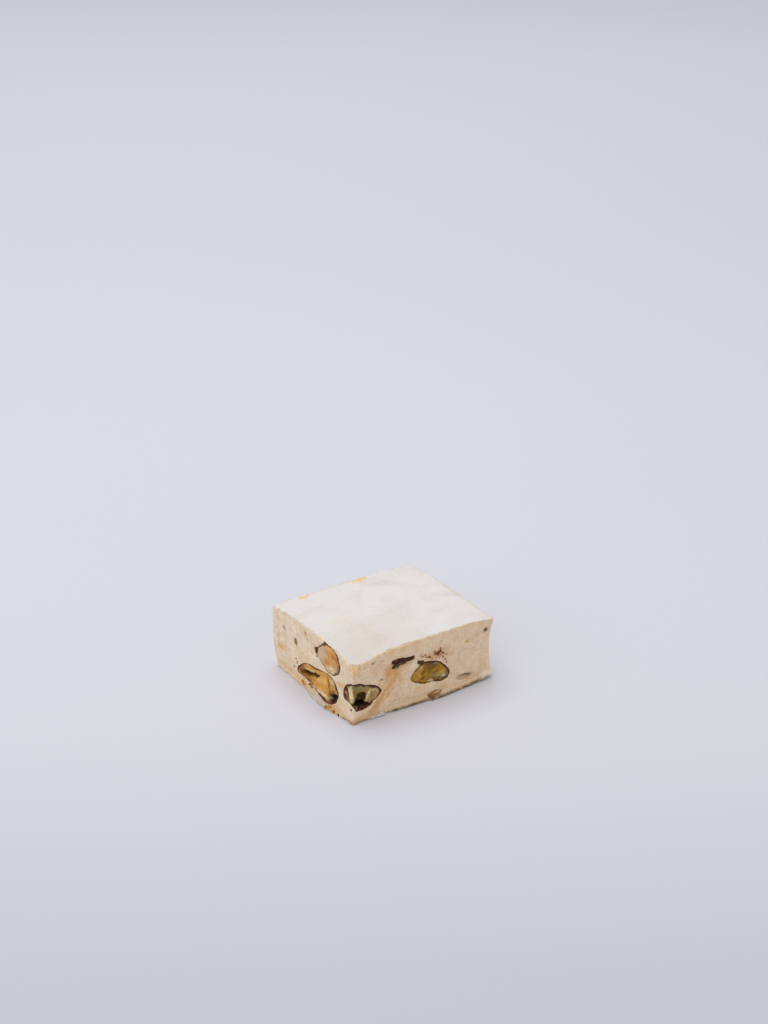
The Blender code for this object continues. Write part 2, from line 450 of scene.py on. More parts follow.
# each kind's finish, the tints of its skin and its rim, how strongly its fibres and its grain
# show, and the tints of a plain half's seam, light side and grey spots
kinds = {
    "almond": {
        "look": nutFlesh("toastedAlmond", 0.9, 0.05, 0.42), "skin": "#6a3f20", "rim": "#6a3a18",
        "fibre": 0.09, "grain": 0.05, "seam": "#a2662f", "light": "#e6b673", "grey": "#a8846a",
        "plain": ("#d8a468", "#cf9650")},
    "pistachio": {
        "look": nutFlesh("pistachioKernel", 0.5, 0.10, 0.48), "skin": "#563228", "rim": "#4a3019",
        "fibre": 0.05, "grain": 0.26, "seam": "#6d5b2c", "light": "#b9a35c", "grey": "#8f8a66",
        "plain": ("#a07c3a", "#a07c3a")},
}

# Each nut's outline on the cut face is drawn through a few points, in mm from the middle of
# its CAD box. The skin is the thickness of the husk that shows round the flesh, and each row
# of "thick" is a place where it is thicker or thinner, how far that reaches and by how much.
nuts = {
    "almond_left_lower": {
        "face": "left", "kind": "almond", "depth": 4.4, "skin": 0.24, "turn": 12,
        "points": ((-12.0, -0.9), (-10.7, 0.9), (-8.3, 2.8), (-4.5, 4.1), (-1.0, 4.8), (2.4, 5.3),
                   (5.6, 5.6), (8.4, 5.0), (10.3, 3.5), (11.4, 1.4), (11.0, -0.6), (9.8, -2.1),
                   (6.8, -3.4), (3.8, -3.0), (0.0, -2.2), (-4.3, -1.7), (-8.0, -1.7), (-10.8, -1.8)),
        "base": "#dca860",
        "dabs": (
            dab(-2.6, 3.3, 6.4, 1.0, "#d9a55c", 0.8, 15),
            dab(-7.4, 1.7, 1.8, 0.6, "#c9924e", 0.8, 20, 0.8),
            dab(-2.6, 4.2, 2.2, 0.6, "#8a6128", 0.6, 4, 0.9),
            dab(-9.9, 0.3, 2.6, 1.9, "#9a6128", 0.6, 10, 0.9, -0.15),
            dab(-9.8, 1.9, 1.6, 0.5, "#d39a50", 0.6, 16, 0.8),
            dab(-6.8, -0.5, 2.6, 0.8, "#a8702c", 0.8, 6, 0.8),
            dab(-8.6, -0.9, 2.2, 0.7, "#6e3f18", 0.6, -12, 0.8),
            dab(-4.4, 2.2, 2.6, 0.32, "#e8c488", 0.6, 17, 0.8),
            dab(-4.4, -0.4, 3.4, 0.6, "#b27a3a", 0.8, 8, 0.7),
            dab(1.6, 0.9, 5.4, 2.4, "#d99c48", 0.7, 8, 1, 0.1),
            dab(2.8, 2.2, 3.0, 0.9, "#efc481", 0.9, 10, 0.6),
            # painted shadow: near black in the sunken slit between the kernel's halves
            dab(-5.9, 0.55, 2.8, 0.75, "#0e0603", 0.4, 16, 1, -1.0),
            dab(-1.3, 2.1, 2.6, 0.55, "#3c1d0b", 0.5, 17, 1, -0.5),
            dab(-5.2, -0.6, 3.2, 0.7, "#b4752e", 0.7, 18, 0.8),
            dab(6.2, 2.9, 2.6, 0.28, "#8a4c1a", 0.6, -70, 0.9, -0.2),
            dab(8.7, 2.6, 1.5, 2.4, "#cc9a56", 0.6, 20, 0.9),
            # a painted highlight on the kernel's right half
            dab(7.9, 3.8, 0.9, 0.8, "#e8cfa2", 0.8, 0, 0.8),
            dab(9.9, 3.0, 1.9, 0.3, "#74400f", 0.6, -58, 0.85),
            dab(8.3, 0.8, 1.7, 0.6, "#86632c", 0.8, 20, 0.8),
            dab(9.0, 0.1, 1.9, 0.8, "#5d3d18", 0.6, 12, 0.9),
            # painted shadow: near black in the sunken pit at the kernel's right end
            dab(9.3, -1.2, 2.6, 1.6, "#0f0504", 0.25, 20, 1, -1.0),
            dab(10.2, 3.0, 2.4, 0.5, "#6a4518", 0.6, -56, 0.9),
            dab(4.0, -1.5, 3.2, 0.7, "#ecd3a4", 0.6, -2, 0.9),
            dab(4.2, -2.6, 3.0, 0.6, "#5f4838", 0.45, -8),
            dab(-2.6, -1.2, 0.9, 0.32, "#7a4a22", 0.5, -14, 0.9),
            dab(-1.0, -1.5, 0.7, 0.28, "#eedbb4", 0.5, 0, 0.9, 0.1),
            dab(0.5, -1.7, 0.6, 0.28, "#8a5a2c", 0.5, 0, 0.85),
            dab(-4.7, -1.35, 1.2, 0.5, "#49382a", 0.5, 4),
        ),
        "skinDabs": (
            dab(9.8, 2.6, 3.0, 3.6, "#3a2113"),
            dab(-10, 0, 3.4, 2.8, "#3f2210"),
            dab(2.5, -3.0, 6.0, 1.2, "#857062", 0.4, 0, 0.85),
            dab(3.6, 5.4, 2.6, 0.8, "#a98457", 0.5, 0, 0.85),
            dab(-1.6, -1.9, 2.4, 0.7, "#c9a777", 0.5, 0, 0.8),
        ),
        "thick": ((10.2, 2.4, 2.6, 0.45), (-11, 0, 2.6, 0.4), (9.6, -1.8, 1.8, 0.4), (3, 5.5, 3.0, -0.1),
                  (-7, 4.0, 2.0, 0.15)),
    },
    "almond_left_upper": {
        "face": "left", "kind": "almond", "depth": 3.6, "skin": 0.2, "turn": -52, "top": 20.2,
        "points": ((-7.2, 0.2), (-6.4, -1.3), (-4.5, -1.9), (-2.4, -3.4), (-0.8, -4.2), (1.3, -4.5),
                   (3.7, -4.1), (5.9, -2.5), (6.5, 0.5), (5.6, 2.8), (4.3, 3.9), (2.4, 4.5),
                   (0.2, 4.7), (-1.6, 4.4), (-3.5, 3.2), (-5.2, 1.6)),
        "base": "#dca568",
        "dabs": (
            dab(-3.2, 0.6, 2.2, 2.4, "#ddc6a6", 0.7, -30),
            dab(-3.4, 1.4, 1.0, 0.7, "#c9b69c", 0.8, 0, 0.5),
            dab(-2.6, -1.6, 2.2, 0.4, "#c9b092", 0.8, -52, 0.7),
            dab(1.6, 2.4, 2.4, 1.5, "#e2a353", 0.8, -25),
            dab(0.4, 3.4, 1.4, 0.6, "#ecc48c", 0.8, 10, 0.7),
            dab(2.9, 1.8, 0.9, 0.8, "#bd6c2a", 0.8, 0, 0.8),
            dab(0.4, -1.2, 0.9, 0.6, "#cf8a55", 0.9, 20, 0.7),
            dab(-1.1, -1.3, 0.5, 0.6, "#d08a50", 0.9, 0, 0.6),
            dab(4.6, 1.2, 0.5, 1.2, "#b3743c", 0.8, 24, 0.7),
            dab(2.6, -2.9, 2.8, 1.2, "#e6d0ab", 0.6, 14),
            dab(1.4, -3.4, 1.2, 0.2, "#a98a6c", 0.6, 24, 0.7),
            dab(3.4, -2.2, 1.0, 0.18, "#b0896a", 0.6, -60, 0.7),
            dab(4.6, -2.4, 0.9, 0.18, "#8f7462", 0.6, -50, 0.7),
            dab(5.3, -1.2, 0.5, 1.4, "#8d6e58", 0.6, -10, 0.7),
            dab(-6.3, 0.0, 0.8, 1.4, "#4a3519", 0.4, -20, 1, -0.25),
            dab(-5.3, 1.4, 0.8, 0.4, "#4e371b", 0.4, 42, 1, -0.2),
            dab(-5.5, -0.3, 0.5, 0.5, "#e8d8ba", 0.5, 20, 0.8),
            dab(-1.9, 4.2, 1.8, 0.6, "#57331b", 0.4, 22, 1, -0.15),
            dab(-1.5, -0.9, 3.0, 0.18, "#b4875c", 0.7, -50, 0.7),
        ),
        "skinDabs": (
            dab(-3.0, -2.6, 6.0, 2.6, "#c9b298", 0.4, -50),
            dab(6.2, 0.6, 1.4, 4.0, "#3a2216", 0.4),
            dab(3.6, -4.0, 2.6, 0.9, "#6d5647", 0.4, 24, 0.9),
        ),
        "thick": ((6.0, 1.4, 2.6, 0.5), (-6.6, 0, 1.4, 0.3), (-1.8, 4.5, 1.4, 0.3), (-2.4, -3, 3.0, -0.06),
                  (2.4, 4.6, 1.6, -0.12)),
    },
    "pistachio_corner": {
        "face": "corner", "kind": "pistachio", "depth": 4.6, "skin": 0.24, "turn": -14,
        "points": ((-7.2, 0.1), (-6.6, 1.7), (-5.6, 3.1), (-4.2, 4.0), (-2.2, 4.6), (0.5, 4.3),
                   (3.2, 3.2), (5.8, 2.3), (7.2, 1.0), (7.7, -0.4), (6.6, -1.8), (5.2, -2.7),
                   (4.2, -3.8), (1.4, -4.4), (-0.8, -4.1), (-2.0, -2.9), (-3.8, -2.1), (-6.3, -1.7)),
        "base": "#987b46",
        "dabs": (
            dab(1.0, 3.0, 4.2, 1.0, "#9b875a", 0.6, -16),
            dab(5.0, 0.0, 2.6, 2.0, "#b89766", 0.6, -25),
            dab(5.4, 0.9, 1.5, 0.5, "#ccb384", 0.6, -30, 0.8),
            dab(4.8, -1.2, 1.3, 0.35, "#a08254", 0.6, -50, 0.8),
            # painted shade darkens the sunken hollow between the kernel's halves, and the sunken gaps below
            # it are painted near black as shadow
            dab(0.3, -0.6, 2.1, 1.9, "#3f3110", 0.35, -10, 1, -1.3),
            dab(0.4, 0.9, 1.2, 0.5, "#66521d", 0.6, -20, 0.8),
            dab(0.5, -2.7, 3.2, 1.0, "#0b0604", 0.3, -14, 1, -1.1),
            dab(-1.8, -1.2, 0.6, 1.1, "#120a05", 0.5, 10, 1, -0.4),
            dab(-3.4, 1.2, 1.4, 2.8, "#e7d4a2", 0.4, 8, 1, 0.12),
            dab(-1.95, 1.5, 0.2, 2.0, "#6e5f30", 0.6, 2, 0.8),
            dab(3.1, -0.2, 1.8, 0.48, "#dfca92", 0.4, 66, 1, 0.12),
            dab(3.9, 0.4, 1.5, 0.2, "#7c6a3e", 0.6, 62, 0.7),
            dab(-5.7, 0.4, 1.3, 2.3, "#5f3420", 0.4, 0, 1, -0.2),
            dab(-5.8, 0.2, 0.55, 1.0, "#b08a62", 0.6, 10, 0.9),
            dab(-4.7, -0.9, 0.6, 0.6, "#8c6a4a", 0.6, 0, 0.8),
            dab(0.4, -3.7, 2.8, 0.9, "#34160f", 0.5, 6),
            dab(-0.9, -3.5, 0.5, 0.4, "#9a7a70", 0.6, 0, 0.8),
            dab(0.9, -3.6, 0.5, 0.25, "#7c5648", 0.6, 10, 0.8),
            dab(2.4, -3.9, 2.4, 0.45, "#6a2f18", 0.4, 12, 1, 0.12),
        ),
        "skinDabs": (
            dab(-6.4, 0.2, 2.0, 3.0, "#66301f", 0.5, 0, 0.8),
            dab(2.0, -4.2, 4.0, 1.0, "#642c1a", 0.4),
            dab(1.0, 4.4, 6.0, 1.0, "#48241a", 0.4, 0, 0.8),
            dab(6.8, 1.0, 2.4, 3.0, "#4c271a", 0.4, 0, 0.9),
        ),
        "thick": ((-6.6, 0.2, 1.6, 0.25), (3, -4.0, 2.4, 0.25), (-1, 4.6, 4.0, 0.25), (6.4, 1.2, 2.8, 0.7)),
    },
    "pistachio_front": {
        "face": "front", "kind": "pistachio", "depth": 4.0, "skin": 0.2, "turn": -16,
        "points": ((-7.1, -0.5), (-5.9, 1.3), (-4.7, 2.3), (-3.6, 3.7), (-2.2, 3.6), (0.2, 3.2),
                   (2.4, 2.4), (4.4, 1.0), (6.0, -0.8), (6.8, -2.7), (5.6, -4.1), (3.2, -4.4),
                   (0.8, -3.8), (-1.2, -3.8), (-4.1, -3.2), (-6.4, -1.8)),
        "base": "#ab7f2d",
        "dabs": (
            dab(-4.8, -0.6, 2.2, 1.6, "#b98f3e", 0.7, 10, 0.8),
            dab(2.4, -0.6, 3.0, 1.5, "#b2852f", 0.7, -30),
            dab(-0.5, 0.2, 0.35, 2.6, "#6e5520", 0.8, -8, 0.5, -0.08),
            dab(-2.9, -0.1, 0.6, 0.5, "#6d5220", 0.7, 0, 0.8, -0.1),
            dab(1.1, -1.3, 0.5, 0.6, "#6d5220", 0.7, 0, 0.8, -0.1),
            dab(2.4, -0.8, 0.5, 0.4, "#5e4618", 0.7, 0, 0.7, -0.1),
            dab(-3.3, 1.9, 0.8, 0.5, "#cdb06a", 0.7, 30, 0.8),
            dab(1.5, 1.4, 0.9, 0.4, "#c4a75e", 0.7, -20, 0.8),
            dab(3.3, -2.2, 0.8, 0.5, "#c4a75e", 0.7, -40, 0.7),
            dab(-3.4, 2.9, 1.0, 0.6, "#3f2a17", 0.4),
            dab(2.6, -2.4, 3.0, 0.9, "#ab9a68", 0.7, -8, 0.8),
            dab(0.6, 1.2, 2.2, 1.4, "#6f5a22", 0.8, 0, 0.5),
            dab(3.4, -3.3, 2.8, 0.55, "#6f5c3a", 0.5, -6, 0.85),
            dab(5.6, -2.6, 0.8, 1.4, "#85785c", 0.5, -20, 0.85),
            dab(-0.4, 2.3, 2.6, 0.7, "#75592a", 0.6, -8, 0.8),
            dab(1.2, 1.0, 1.1, 0.6, "#6b4f1e", 0.6, 0, 0.8, -0.2),
            dab(3.6, -1.4, 0.9, 0.5, "#c7a04e", 0.6, 0, 0.8, 0.1),
            dab(-3.0, -1.8, 1.0, 0.5, "#735324", 0.6, 0, 0.8, -0.15),
            dab(-4.4, 0.9, 0.9, 0.4, "#cda95c", 0.6, 20, 0.7),
            dab(0.6, -2.4, 1.2, 0.5, "#7c5e28", 0.6, -20, 0.8),
            dab(0.8, 2.3, 2.0, 0.26, "#b9a888", 0.6, -14, 0.7),
            dab(-0.4, -3.3, 0.8, 0.4, "#e2cda6", 0.4, 0, 0.9, 0.1),
            dab(4.4, -3.0, 0.9, 0.3, "#d8c199", 0.5, 10, 0.8),
            dab(-2.2, 0.6, 0.5, 1.6, "#8a6a26", 0.7, -24, 0.7),
        ),
        "skinDabs": (
            dab(0, -3.8, 8.0, 1.0, "#5f352c", 0.4, 0, 0.8),
            dab(5.4, 0.0, 2.0, 2.6, "#4f3127", 0.4, 30, 0.9),
            dab(-6.0, 1.0, 2.8, 2.0, "#d9bf90", 0.3, 50),
            dab(-0.6, -3.7, 1.2, 0.6, "#c9ab85", 0.4, 0, 0.8),
        ),
        "thick": ((-0.6, 3.3, 3.0, 0.6), (-6.0, 0.8, 2.2, -0.12), (-0.6, -3.6, 1.2, -0.16),
                  (-4, -3, 2.0, 0.25), (3.0, -4.2, 1.8, 0.4), (6.2, -1.2, 2.4, 0.5)),
    },
    "almond_chip_front": {
        "face": "front", "kind": "almond", "depth": 1.2, "skin": 0.12, "turn": 0,
        "points": ((-2.6, -0.8), (-1.9, 0.1), (0.0, 0.5), (1.9, 0.2), (2.6, -0.3), (1.5, -1.0),
                   (-0.8, -1.2)),
        "base": "#cf9c62",
        "dabs": (
            dab(-1.4, -0.3, 1.0, 0.5, "#a56c34", 0.7, 0, 0.8),
            dab(1.0, -0.2, 0.6, 0.3, "#e3c08c", 0.7, 0, 0.7),
        ),
        "skinDabs": (),
        "thick": (),
    },
}

# The nuts on the faces behind are plain halves, each turned and drawn to a point in its own way.
hiddenNuts = {
    "almond_right_upper": ("right", "almond", 8.8, 3.6, 8, 0.22, 4.6),
    "pistachio_right": ("right", "pistachio", 7.3, 4.0, 24, 0.08, 4.0),
    "almond_right_lower": ("right", "almond", 6.3, 3.7, -18, 0.24, 4.8),
    "pistachio_back": ("back", "pistachio", 7.1, 3.7, -6, 0.08, 4.2),
    "almond_back": ("back", "almond", 10.4, 4.3, 20, 0.24, 4.4),
    "almond_chip_back": ("back", "almond", 3.9, 1.6, -12, 0.18, 1.8),
}


def eggPoints(halfLong, halfWide, tilt, pointed, seed):
    turns = np.linspace(0, 2 * math.pi, 14, endpoint=False)
    long = halfLong * np.cos(turns)
    wide = halfWide * np.sin(turns) * (1 - pointed * np.cos(turns)) * np.abs(np.sin(turns)) ** 0.08
    uneven = 1 + 0.05 * lumps(onFlat(np.cos(turns), np.sin(turns)), 0.7, seed)
    u, v = turned(long, wide, tilt)
    return tuple(zip(u * uneven, v * uneven))


def hiddenDabs(kind, halfLong, halfWide, tilt, seed):
    # a light side, the seam, a light ridge, and a few spots
    draw = np.random.default_rng(seed)
    seam, light, grey = kinds[kind]["seam"], kinds[kind]["light"], kinds[kind]["grey"]
    dabs = [
        dab(0.15 * halfLong, 0.2 * halfWide, 0.6 * halfLong, 0.5 * halfWide, light, 0.7, tilt, 0.8),
        dab(-0.25 * halfLong, -0.1 * halfWide, 0.45 * halfLong, 0.24, seam, 0.5, tilt + 9, 0.85, -0.35),
        dab(0.3 * halfLong, -0.5 * halfWide, 0.5 * halfLong, 0.35, light, 0.7, tilt - 6, 0.7, 0.1),
    ]
    for k in range(5):
        long, wide = draw.uniform(-0.8, 0.8), draw.uniform(-0.8, 0.8)
        u, v = turned(long * halfLong, wide * halfWide, tilt)
        dabs.append(dab(u, v, draw.uniform(0.5, 1.8), draw.uniform(0.3, 0.7), (grey, seam)[k % 2], 0.6,
                        tilt + draw.uniform(-30, 30), 0.6, draw.uniform(-0.15, 0.08)))
    return tuple(dabs)


for number, (name, details) in enumerate(hiddenNuts.items()):
    face, kind, halfLong, halfWide, tilt, pointed, depth = details
    nuts[name] = {
        "face": face, "kind": kind, "depth": depth, "skin": 0.24, "turn": tilt,
        "points": eggPoints(halfLong, halfWide, tilt, pointed, 40 + number),
        "base": kinds[kind]["plain"][number % 2],
        "dabs": hiddenDabs(kind, halfLong, halfWide, tilt, 60 + number),
        "skinDabs": (),
        "thick": ((0.8 * halfLong, 0, 2.0, 0.2), (-0.9 * halfLong, 0, 1.5, -0.1)),
    }

nutSeeds = {name: 100 + 10 * number for number, name in enumerate(nuts)}
chip = 2.0      # a kernel less deep than this is only a chip, with a coarser mesh and no skin


def nutMiddle(name, face):
    low, high = (np.array(corner) * 1000 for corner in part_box(name))
    x, y, z = (low + high) / 2
    x = x - block["offCentre"]
    if face == "corner":
        leftEnd = -(high[1] + halfWidth)
        rightEnd = high[0] - block["offCentre"] + halfLength
        return (leftEnd + rightEnd) / 2, z
    places = {"left": -(y + halfWidth), "front": x + halfLength,
              "right": block["length"] + y + halfWidth, "back": -girth / 2 + halfLength - x}
    return places[face], z


def closedCurve(points, count):
    # a smooth closed line through the points, with even steps along it
    points = np.array(points, float)
    before, after, beyond = (np.roll(points, shift, axis=0) for shift in (1, -1, -2))
    steps = np.linspace(0, 1, 40, endpoint=False)[:, None, None]
    line = 0.5 * (2 * points + (after - before) * steps
                  + (2 * before - 5 * points + 4 * after - beyond) * steps ** 2
                  + (3 * points - before - 3 * after + beyond) * steps ** 3)
    line = line.transpose(1, 0, 2).reshape(-1, 2)
    line = np.vstack([line, line[:1]])
    length = np.concatenate([[0], np.cumsum(np.hypot(*np.diff(line, axis=0).T))])
    even = np.linspace(0, length[-1], count, endpoint=False)
    return np.column_stack([np.interp(even, length, line[:, 0]), np.interp(even, length, line[:, 1])])


def nutEdges(name, nut, count):
    # the socket's edge, and the flesh's edge inside the skin
    edge = closedCurve(nut["points"], count)
    flat = onFlat(*edge.T)
    seed = nutSeeds[name]
    reach = np.hypot(edge[:, 0], edge[:, 1])
    outer = reach + 0.2 * lumps(flat, 1.6, seed) + 0.12 * lumps(flat, 0.6, seed + 1)
    skin = nut["skin"] * (0.95 + 1.5 * lumps(flat, 1.9, seed + 2) + 1.0 * lumps(flat, 0.6, seed + 3))
    for u, v, size, more in nut["thick"]:
        skin = skin + more * np.exp(-np.hypot(edge[:, 0] - u, edge[:, 1] - v) ** 2 / size ** 2)
    inner = outer - np.clip(skin, 0.04, 1.3)
    return edge * (outer / reach)[:, None], edge * (inner / reach)[:, None]


def ballMesh(around, down):
    bm = bmesh.new()
    bmesh.ops.create_uvsphere(bm, u_segments=around, v_segments=down, radius=1)
    mesh = toMesh(bm, "ball")
    points = positions(mesh)
    turn = np.arctan2(points[:, 1], points[:, 0]) % (2 * math.pi)
    depth = np.arccos(np.clip(points[:, 2], -1, 1)) / math.pi
    return mesh, turn / (2 * math.pi), depth


def onEdge(edge, turn):
    around = np.linspace(0, 1, len(edge) + 1)
    closed = np.vstack([edge, edge[:1]])
    return np.column_stack([np.interp(turn, around, closed[:, 0]), np.interp(turn, around, closed[:, 1])])


def kernelMesh(name, nut, middle):
    # one kernel: its cut face, worked with the dabs, and a plain bowl behind it
    around, down, rim = (176, 64, 0.78) if nut["depth"] > chip else (72, 30, 0.7)
    mesh, turn, depth = ballMesh(around, down)
    edge = onEdge(nutEdges(name, nut, around)[1], turn)
    front = np.clip(depth / rim, 0, 1)
    behind = np.clip((depth - rim) / (1 - rim), 0, 1) * math.pi / 2
    u, v = (edge * (front * np.cos(behind))[:, None]).T
    flat = onFlat(u, v)
    kind = kinds[nut["kind"]]
    seed = nutSeeds[name]
    colours = np.tile(toLinear(nut["base"]), (len(u), 1))
    lift = 0.06 * lumps(flat, 2.2, seed + 4) + 0.05 * lumps(flat, 0.7, seed + 5) - 0.05
    colours, lift = layDabs(u, v, colours, lift, nut["dabs"], 0.28, seed + 7)
    # fibres along the kernel, grain, and blotches
    long, wide = turned(u, v, -nut["turn"])
    shade = 1 + kind["fibre"] * lumps(onFlat(long / 4, wide), 0.45, seed + 6)
    shade = shade + kind["grain"] * lumps(flat, 0.55, seed + 9) + 0.09 * lumps(flat, 1.5, seed + 10)
    lift = lift + kind["grain"] * 0.35 * lumps(flat, 0.6, seed + 9)
    # the husk's stain creeps in from the rim, and the face is level and a little sunk there
    toRim = (1 - front) * np.hypot(edge[:, 0], edge[:, 1])
    bleed = np.clip(0.32 + 0.4 * lumps(flat, 1.8, seed + 8), 0.1, 1)
    colours = tinted(colours * shade[:, None], kind["rim"], 0.8 * softStep(1.25 - toRim / bleed))
    lift = lift * softStep(toRim / 0.3) - 0.04 * np.exp(-toRim / 0.12)
    outward = np.where(depth < rim, lift, -0.04 - nut["depth"] * np.sin(behind))
    place(mesh, onWall(middle[0] + u, middle[1] + v, outward))
    paint(mesh, colours)
    return turnOutward(mesh)


def skinMesh(name, nut, middle):
    # the husk: a thin cup round the kernel, of which only the cut edge shows
    around, down = 176, 36
    mesh, turn, depth = ballMesh(around, down)
    outer, inner = (onEdge(edge, turn) for edge in nutEdges(name, nut, around))
    reach = np.hypot(inner[:, 0], inner[:, 1])
    inner = inner * (1 + 0.03 / reach)[:, None]
    cup, brim = 0.3, 0.62
    rise = (1 - np.clip(depth / cup, 0, 1)) * math.pi / 2
    cross = softStep((depth - cup) / (brim - cup))
    fall = np.clip((depth - brim) / (1 - brim), 0, 1) * math.pi / 2
    u, v = ((inner + (outer - inner) * cross[:, None]) * (np.cos(rise) * np.cos(fall))[:, None]).T
    flat = onFlat(u, v)
    seed = nutSeeds[name] + 500
    brimLift = -0.02 + 0.05 * lumps(flat, 0.5, seed) - 0.025 * np.abs(2 * cross - 1) ** 4
    deep = nut["depth"] + 0.1
    outward = np.where(depth < cup, -0.08 - deep * np.sin(rise), brimLift)
    outward = np.where(depth > brim, -0.08 - (deep + 0.15) * np.sin(fall), outward)
    colours = np.tile(toLinear(kinds[nut["kind"]]["skin"]), (len(u), 1))
    colours = layDabs(u, v, colours, 0 * u, nut["skinDabs"], 0.2, seed + 2)[0]
    shade = 1 + 0.4 * lumps(flat, 0.9, seed + 1) + 0.25 * lumps(flat, 2.4, seed + 3)
    place(mesh, onWall(middle[0] + u, middle[1] + v, outward))
    paint(mesh, colours * shade[:, None])
    return turnOutward(mesh)


def socketCutter(name, nut, middle):
    # the hole that a nut and its skin fill, in the plain block, before it settles
    around, down, rim, wall = 176, 20, 0.4, 0.5
    proud, slack = 1.6, 0.4         # how far it reaches out of the face, and behind the nut
    mesh, turn, depth = ballMesh(around, down)
    edge = onEdge(nutEdges(name, nut, around)[0], turn)
    edge = edge * (1 + 0.04 / np.hypot(edge[:, 0], edge[:, 1]))[:, None]
    behind = np.clip((depth - wall) / (1 - wall), 0, 1) * math.pi / 2
    outward = proud * np.clip((wall - depth) / (wall - rim), 0, 1) - (nut["depth"] + slack) * np.sin(behind)
    u, v = (edge * (np.minimum(depth / rim, 1) * np.cos(behind))[:, None]).T
    height = middle[1] + v
    if "top" in nut:
        # the socket opens wider upwards, where this nut reaches the rim
        height = height + np.maximum(height - nut["top"] + 0.6, 0) * 0.8
    place(mesh, plainWall(middle[0] + u, height, outward)[0])
    return mesh


cutters = []
for name, nut in nuts.items():
    middle = nutMiddle(name, nut["face"])
    kernel = kernelMesh(name, nut, middle)
    finishPiece(name + "_kernel", kernel, kinds[nut["kind"]]["look"], nut["kind"], name)
    if nut["depth"] > chip:
        finishPiece(name + "_skin", skinMesh(name, nut, middle), skinLook, "nut_skin")
    cutters.append(socketCutter(name, nut, middle))


print("torrone: fragments in the nougat")

# A fragment is a broken bit of nut or husk that the knife left on or in a cut face: its place
# on the strip, its half length, half width and half thickness, its turn, and its tint.
fragments = (
    # the dark sliver of husk, its ridge and its heel
    (16.6, 15.9, 4.2, 0.8, 0.8, -5, "#40211a"),
    (15.4, 16.3, 2.4, 0.36, 0.95, -4, "#6b3826"),
    (18.8, 15.5, 2.0, 0.75, 0.7, -8, "#482519"),
    (20.7, 15.4, 1.3, 0.7, 0.6, 4, "#5a2c1c"),
    (14.8, 15.0, 1.5, 0.8, 0.6, 6, "#5a3d28"),
    (13.9, 14.3, 0.6, 0.45, 0.9, 10, "#4a3c30"),
    (15.1, 14.2, 0.6, 0.4, 0.95, 10, "#94835a"),
    (17.2, 14.6, 1.3, 0.6, 0.8, 2, "#7d5236"),
    # beside the front pistachio, and the star of husk above it
    (23.2, 13.2, 1.0, 0.9, 0.6, 0, "#4a3926"),
    (24.3, 12.8, 0.9, 0.5, 0.4, -12, "#54372a"),
    (30.2, 14.4, 0.8, 0.4, 0.25, 24, "#703a1a"),
    (30.7, 15.3, 0.3, 0.7, 0.2, -14, "#8a4e26"),
    (28.9, 14.6, 0.6, 0.26, 0.15, -6, "#965a30"),
    (31.7, 13.8, 0.6, 0.28, 0.15, -20, "#84502e"),
    (29.9, 13.7, 0.5, 0.34, 0.18, 30, "#8a5530"),
    # round the left almonds and the corner pistachio
    (-19.4, 16.4, 0.4, 0.3, 0.3, 20, "#5c4420"),
    (-20.5, 15.8, 0.35, 0.45, 0.3, 0, "#4f3c1e"),
    (-20.1, 14.6, 0.3, 0.42, 0.3, 0, "#574222"),
    (-19.3, 13.6, 0.3, 0.3, 0.25, 0, "#5e4526"),
    (-23.1, 2.4, 0.7, 0.35, 0.3, 20, "#a8693a"),
    (-21.0, 2.5, 0.5, 0.3, 0.3, -10, "#8c5a34"),
    (-1.1, 4.45, 0.45, 0.38, 0.3, 0, "#6a3018"),
    # low in the left face, and at its foot
    (-6.7, 0.6, 0.6, 0.45, 1.2, 0, "#3a2317"),
    (-30.6, 6.1, 0.4, 0.45, 0.3, 0, "#b9702e"),
    (-31.4, 7.0, 0.3, 0.3, 0.2, 0, "#7c4a24"),
    (-27.2, 1.4, 0.8, 0.65, 0.8, 10, "#c8812c"),
    (-25.6, 1.2, 0.4, 0.3, 0.8, 0, "#c2925c"),
    (-10.8, 1.1, 0.8, 0.6, 1.2, 30, "#cf9650"),
    (-9.6, 0.9, 0.7, 0.6, 1.4, 0, "#deb478"),
    (-8.6, 0.6, 0.6, 0.4, 1.2, 0, "#a06230"),
    (-12.0, 0.7, 0.6, 0.4, 1.1, 0, "#b9834a"),
    # in the faces behind
    (-60.0, 14.6, 1.0, 0.3, 0.2, 30, "#5c2f1a"),
    (-63.2, 12.2, 0.3, 0.25, 0.2, 0, "#6d3a20"),
    (55.2, 12.4, 0.9, 0.28, 0.2, -40, "#5c2f1a"),
    (83.6, 15.1, 0.35, 0.3, 0.2, 0, "#7b4526"),
    # along the front foot
    (32.2, 0.5, 0.5, 0.3, 1.3, 12, "#6b4526"),
    (33.6, 0.9, 0.4, 0.3, 1.1, 0, "#a87a46"),
    (31.3, 0.5, 0.3, 0.25, 1.3, 0, "#50301c"),
    # under the lower almond
    (-22.1, 2.9, 1.0, 0.3, 0.3, 12, "#7c5230"),
)


def lumpyBall(size, turn, detail, uneven):
    # an uneven ball of these half sizes; each row of uneven says how much, how wide, and a seed
    bm = bmesh.new()
    bmesh.ops.create_icosphere(bm, subdivisions=detail, radius=1)
    mesh = toMesh(bm, "ball")
    points = positions(mesh)
    rough = 1 + sum(much * lumps(points, width, seed) for much, width, seed in uneven)
    points = points * rough[:, None] * size
    return mesh, points, *turned(points[:, 0], points[:, 1], turn)


def fragmentMesh(at, size, turn, tint, seed, detail=2):
    mesh, points, u, v = lumpyBall(size, turn, detail, ((0.45, 0.9, seed), (0.2, 0.4, seed + 1)))
    place(mesh, onWall(at[0] + u, at[1] + v, at[2] + points[:, 2]))
    shade = 1 + 0.25 * lumps(points, max(size) * 0.5, seed + 2)
    paint(mesh, np.array(toLinear(tint)) * shade[:, None])
    return mesh


flakes = []
for number, details in enumerate(fragments):
    along, height, long, wide, thick, turn, tint = details
    # about half of each fragment stays in the nougat
    at = (along, height, -0.35 * thick)
    flakes.append(fragmentMesh(at, (long, wide, thick), turn, tint, 200 + number, 3))

